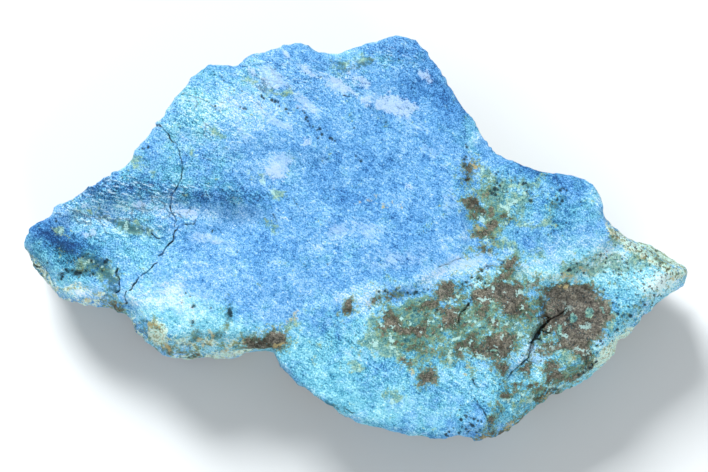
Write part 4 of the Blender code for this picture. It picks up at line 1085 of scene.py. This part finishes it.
# %% Colours, in 0-255 screen values
BLUE_STOPS = [
    (0.00, (10, 64, 124)), (0.25, (54, 126, 196)), (0.50, (100, 170, 228)), (0.75, (156, 207, 243)),
    (1.00, (222, 236, 250)),
]
TURQUOISE_STOPS = [
    (0.00, (4, 54, 80)), (0.25, (36, 122, 162)), (0.50, (100, 186, 216)), (0.75, (158, 226, 241)),
    (1.00, (226, 250, 250)),
]
GREEN_STOPS = [
    (0.15, (34, 84, 88)), (0.40, (84, 138, 134)), (0.60, (132, 178, 164)), (0.85, (196, 220, 186)),
]
CREAM_STOPS = [
    (0.16, (60, 104, 84)), (0.34, (140, 192, 164)), (0.48, (200, 238, 226)), (0.64, (230, 248, 230)),
    (0.90, (250, 250, 240)),
]
OLIVE_STOPS = [
    (0.20, (24, 58, 46)), (0.45, (76, 112, 80)), (0.65, (126, 152, 104)), (0.85, (186, 196, 140)),
]
BROWN_STOPS = [
    (0.18, (34, 30, 24)), (0.40, (84, 78, 70)), (0.60, (124, 117, 106)), (0.85, (172, 176, 158)),
]
STRAND_PALE = linear(206, 232, 248)
HAIR_DARK = linear(20, 72, 108)
BLOOM_PALE = linear(172, 208, 246)
FILM_PALE = linear(186, 214, 246)
TEAL_DARK = linear(26, 84, 100)
FLAKE_PALE = linear(186, 230, 228)
SHADE_AND_SPOT_DARK = linear(42, 38, 26)
OCHRE_SAND = linear(192, 178, 122)
PEPPER_DARK = linear(22, 62, 70)
GRAIN_DARK = linear(14, 44, 56)
# Painted shade inside the cracks: near black, bluer in the blue and browner in the crust.
CRACK_SHADE_BLUE = linear(8, 34, 52)
CRACK_SHADE_BROWN = linear(26, 20, 12)
print("stops of the blue:", len(BLUE_STOPS), "and of the turquoise:", len(TURQUOISE_STOPS))

# %% The blue ground
silky = mark("strands")
# The tone ovals bring painted light and painted shade into the blue, as well as its own tone.
tone_value = 0.50 + 0.36 * mark("tone") + 0.60 * mottle + 0.22 * drifts + 0.90 * streaks * silky
calm = 0.62 + 0.38 * between(silky, -0.6, 0.1)
lively = 0.90 + 0.34 * silky
finest = lively * 2.05 * dust + (1.0 - 0.25 * silky) * fleck + 0.85 * combed
tone_value = tone_value + calm * finest
hue_value = between(mark("hue") + 2.2 * blush + 0.8 * speck, 0.0, 1.0)
colour = mixed(ramp(tone_value, BLUE_STOPS), ramp(tone_value, TURQUOISE_STOPS), hue_value)
print("nodes so far:", len(material.node_tree.nodes))

# %% Strands, hairlines, bloom and films
strand_mask = between(streaks + 0.25 * dust, 0.05, 0.13) * between(silky + 1.2 * blush, 0.0, 1.0)
colour = mixed(colour, STRAND_PALE, 0.60 * strand_mask)
hair_mask = between(web + 0.12 * dust, 0.060, 0.012) * between(silky + 2.4 * mottle, 0.50, 0.90)
colour = mixed(colour, HAIR_DARK, 0.60 * hair_mask)
bloom_mask = between(mark("bloom") + 1.5 * mottle + 1.6 * combed + 0.8 * fleck, 0.30, 0.75)
colour = mixed(colour, BLOOM_PALE, 0.60 * bloom_mask)
matted = between(dust + fleck, -0.30, 0.05)
film_mask = between(mark("film") + 1.3 * fleck + 0.5 * dust, -0.06, 0.10) * matted
colour = mixed(colour, FILM_PALE, 0.70 * film_mask)
print("nodes so far:", len(material.node_tree.nodes))

# %% Green, teal and cream
green_depth = mark("green")
cream_depth = mark("cream")
green_mask = between(green_depth + 2.6 * blush + 1.6 * speck, -0.20, 0.20)
green = ramp(0.5 + 1.4 * speck + 0.9 * dust + 0.5 * mottle, GREEN_STOPS)
colour = mixed(colour, green, 0.86 * green_mask)
teal_mask = between(mark("teal") + 1.2 * speck + 0.9 * dust, -0.12, 0.10)
colour = mixed(colour, TEAL_DARK, 0.78 * teal_mask)
cream_mask = between(cream_depth + 1.8 * fleck + 0.6 * dust, -0.06, 0.14)
cream = ramp(0.62 + 1.6 * speck + 1.1 * dust + 0.4 * blush, CREAM_STOPS)
colour = mixed(colour, cream, 0.85 * cream_mask)
print("nodes so far:", len(material.node_tree.nodes))

# %% Olive crumbs, brown crust and the islands in it
olive = ramp(0.48 + 1.2 * speck + 1.1 * dust, OLIVE_STOPS)
crumb_mask = between(speck + 0.4 * dust, 0.02, 0.09) * between(cream_depth + 0.5 * blush, -0.16, 0.02)
colour = mixed(colour, olive, 0.72 * crumb_mask)
brown_edge = mark("brown") + fleck + 1.8 * blush + 1.1 * speck + 0.6 * dust
fringe_mask = between(brown_edge + 1.5 * speck, -0.24, -0.12)
colour = mixed(colour, olive, 0.66 * fringe_mask)
island_mask = between(mark("islands") + 0.6 * fleck + 0.3 * dust, -0.03, 0.05)
brown_mask = between(brown_edge, -0.02, 0.05) * (1 - island_mask)
brown = ramp(0.46 + 1.2 * fleck + 1.2 * dust + 0.5 * mottle, BROWN_STOPS)
brown = mixed(brown, olive, 0.60 * between(brown_edge + 1.2 * speck, 0.24, 0.04))
colour = mixed(colour, brown, 0.94 * brown_mask)
colour = mixed(colour, green, 0.85 * island_mask)
print("nodes so far:", len(material.node_tree.nodes))

# %% Flakes, painted shade and dark spots, ochre, pepper, grains and cracks
flake_mask = between(flake + 0.3 * dust, 0.095, 0.135) * between(green_depth + 0.4 * blush, -0.30, 0.0)
colour = mixed(colour, FLAKE_PALE, 0.72 * flake_mask)
# Painted shade beside the crust's crack and at its edge, and dark spots elsewhere.
shade_and_spot_mask = between(mark("shade") + 1.4 * speck + 0.6 * dust, -0.10, 0.14)
colour = mixed(colour, SHADE_AND_SPOT_DARK, 0.70 * shade_and_spot_mask)
ochre_mask = between(mark("ochre") + 0.9 * fleck + 0.5 * dust, -0.03, 0.05)
colour = mixed(colour, OCHRE_SAND, 0.62 * ochre_mask)
peppery = mark("pepper")
dots = between(pip + 0.5 * dust + 0.035 * peppery, 0.19, 0.23)
pepper_mask = dots * between(peppery + 1.5 * blush, 0.2, 0.7)
colour = mixed(colour, PEPPER_DARK, 0.80 * pepper_mask)
grain_mask = between(mark("grain") + 0.35 * dust + 0.25 * fleck, -0.03, 0.03)
colour = mixed(colour, GRAIN_DARK, 0.92 * grain_mask)
# Painted shade in the cracks: the narrow grooves are coloured near black inside.
crack_shade_mask = between(mark("crack") + 0.20 * dust + 0.45 * fleck, -0.01, 0.03)
crack_shade = mixed(CRACK_SHADE_BLUE, CRACK_SHADE_BROWN, between(brown_edge, -0.30, 0.0))
colour = mixed(colour, crack_shade, 0.88 * crack_shade_mask)
print("nodes in the stone's colour:", len(material.node_tree.nodes))

# %% Roughness, bump and the shader
DULL_SHINE = 0.22

roughness = 0.74 + 0.20 * fleck - 0.05 * film_mask + 0.08 * brown_mask
relief = 0.20 * dust + 0.36 * fleck + 0.18 * streaks
normal = start.node("ShaderNodeBump", {}, {"Strength": 1.0, "Distance": MM, "Height": relief})
surface = start.node("ShaderNodeBsdfPrincipled", {}, {
    "Base Color": colour,
    "Roughness": roughness,
    "Specular IOR Level": DULL_SHINE,
    "Normal": normal,
})
output = material.node_tree.nodes.new("ShaderNodeOutputMaterial")
material.node_tree.links.new(surface.socket, output.inputs["Surface"])
stone.data.materials.append(material)
print("nodes in all:", len(material.node_tree.nodes))

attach(stone, "root")
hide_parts(NODE)

# %% [markdown]
# # Floor and light
#
# The floor is plain and pale, and lies a hair's breadth under the slab, because two surfaces in one plane
# would flicker where they are seen together. One large soft lamp stands behind the slab and to its left,
# low enough to rake over the face, so that slopes turned to the viewer go dark. A weaker and wider lamp in
# front and to the right lifts the front walls, and a pale sky fills the shadows.

# %% The stage
FLOOR_HALF = 1.5
FLOOR_GAP = 0.02 * MM

floor_mesh = bpy.data.meshes.new("floor")
floor_mesh.from_pydata(
    [(-FLOOR_HALF, -FLOOR_HALF, 0.0), (FLOOR_HALF, -FLOOR_HALF, 0.0),
     (FLOOR_HALF, FLOOR_HALF, 0.0), (-FLOOR_HALF, FLOOR_HALF, 0.0)],
    [],
    [(0, 1, 2, 3)],
)
floor = bpy.data.objects.new("floor", floor_mesh)
floor.location = (0.0, 0.0, -FLOOR_GAP)
bpy.context.scene.collection.objects.link(floor)
floor_material, floor_start = new_material("pale_floor")
floor_surface = floor_start.node("ShaderNodeBsdfPrincipled", {}, {
    "Base Color": linear(190, 194, 196),
    "Roughness": 0.8,
    "Specular IOR Level": 0.2,
})
floor_output = floor_material.node_tree.nodes.new("ShaderNodeOutputMaterial")
floor_material.node_tree.links.new(floor_surface.socket, floor_output.inputs["Surface"])
floor_mesh.materials.append(floor_material)
print("floor, mm:", round(2 * FLOOR_HALF / MM))

# %% The sky and the lamps
SKY_COLOUR = (0.96, 0.98, 1.0, 1.0)
SKY_STRENGTH = 0.58
LAMP_DISTANCE = 0.60
LAMP_SIZE = 0.22
LAMP_POWER = 7.7
LAMP_TURN = math.radians(115)
LAMP_HEIGHT = math.radians(38)
FILL_POWER = 3.5
FILL_SIZE = 0.40
FILL_TURN = math.radians(-66)
FILL_HEIGHT = math.radians(22)

world = bpy.data.worlds.new("sky")
world.use_nodes = True
background = world.node_tree.nodes["Background"]
background.inputs["Color"].default_value = SKY_COLOUR
background.inputs["Strength"].default_value = SKY_STRENGTH
bpy.context.scene.world = world


def soft_lamp(name, power, size, turn, height):
    """A square lamp that looks at the stone from a turn round it and a height over the floor."""
    data = bpy.data.lights.new(name, "AREA")
    data.shape = "SQUARE"
    data.size = size
    data.energy = power
    lamp = bpy.data.objects.new(name, data)
    away = Vector((math.cos(height) * math.cos(turn), math.cos(height) * math.sin(turn), math.sin(height)))
    lamp.location = LAMP_DISTANCE * away
    lamp.rotation_euler = (-away).to_track_quat("-Z", "Y").to_euler()
    bpy.context.scene.collection.objects.link(lamp)
    print(name, "at, mm:", [round(value / MM) for value in lamp.location])


soft_lamp("soft_lamp", LAMP_POWER, LAMP_SIZE, LAMP_TURN, LAMP_HEIGHT)
soft_lamp("fill_lamp", FILL_POWER, FILL_SIZE, FILL_TURN, FILL_HEIGHT)
bpy.context.scene.view_settings.view_transform = "Standard"
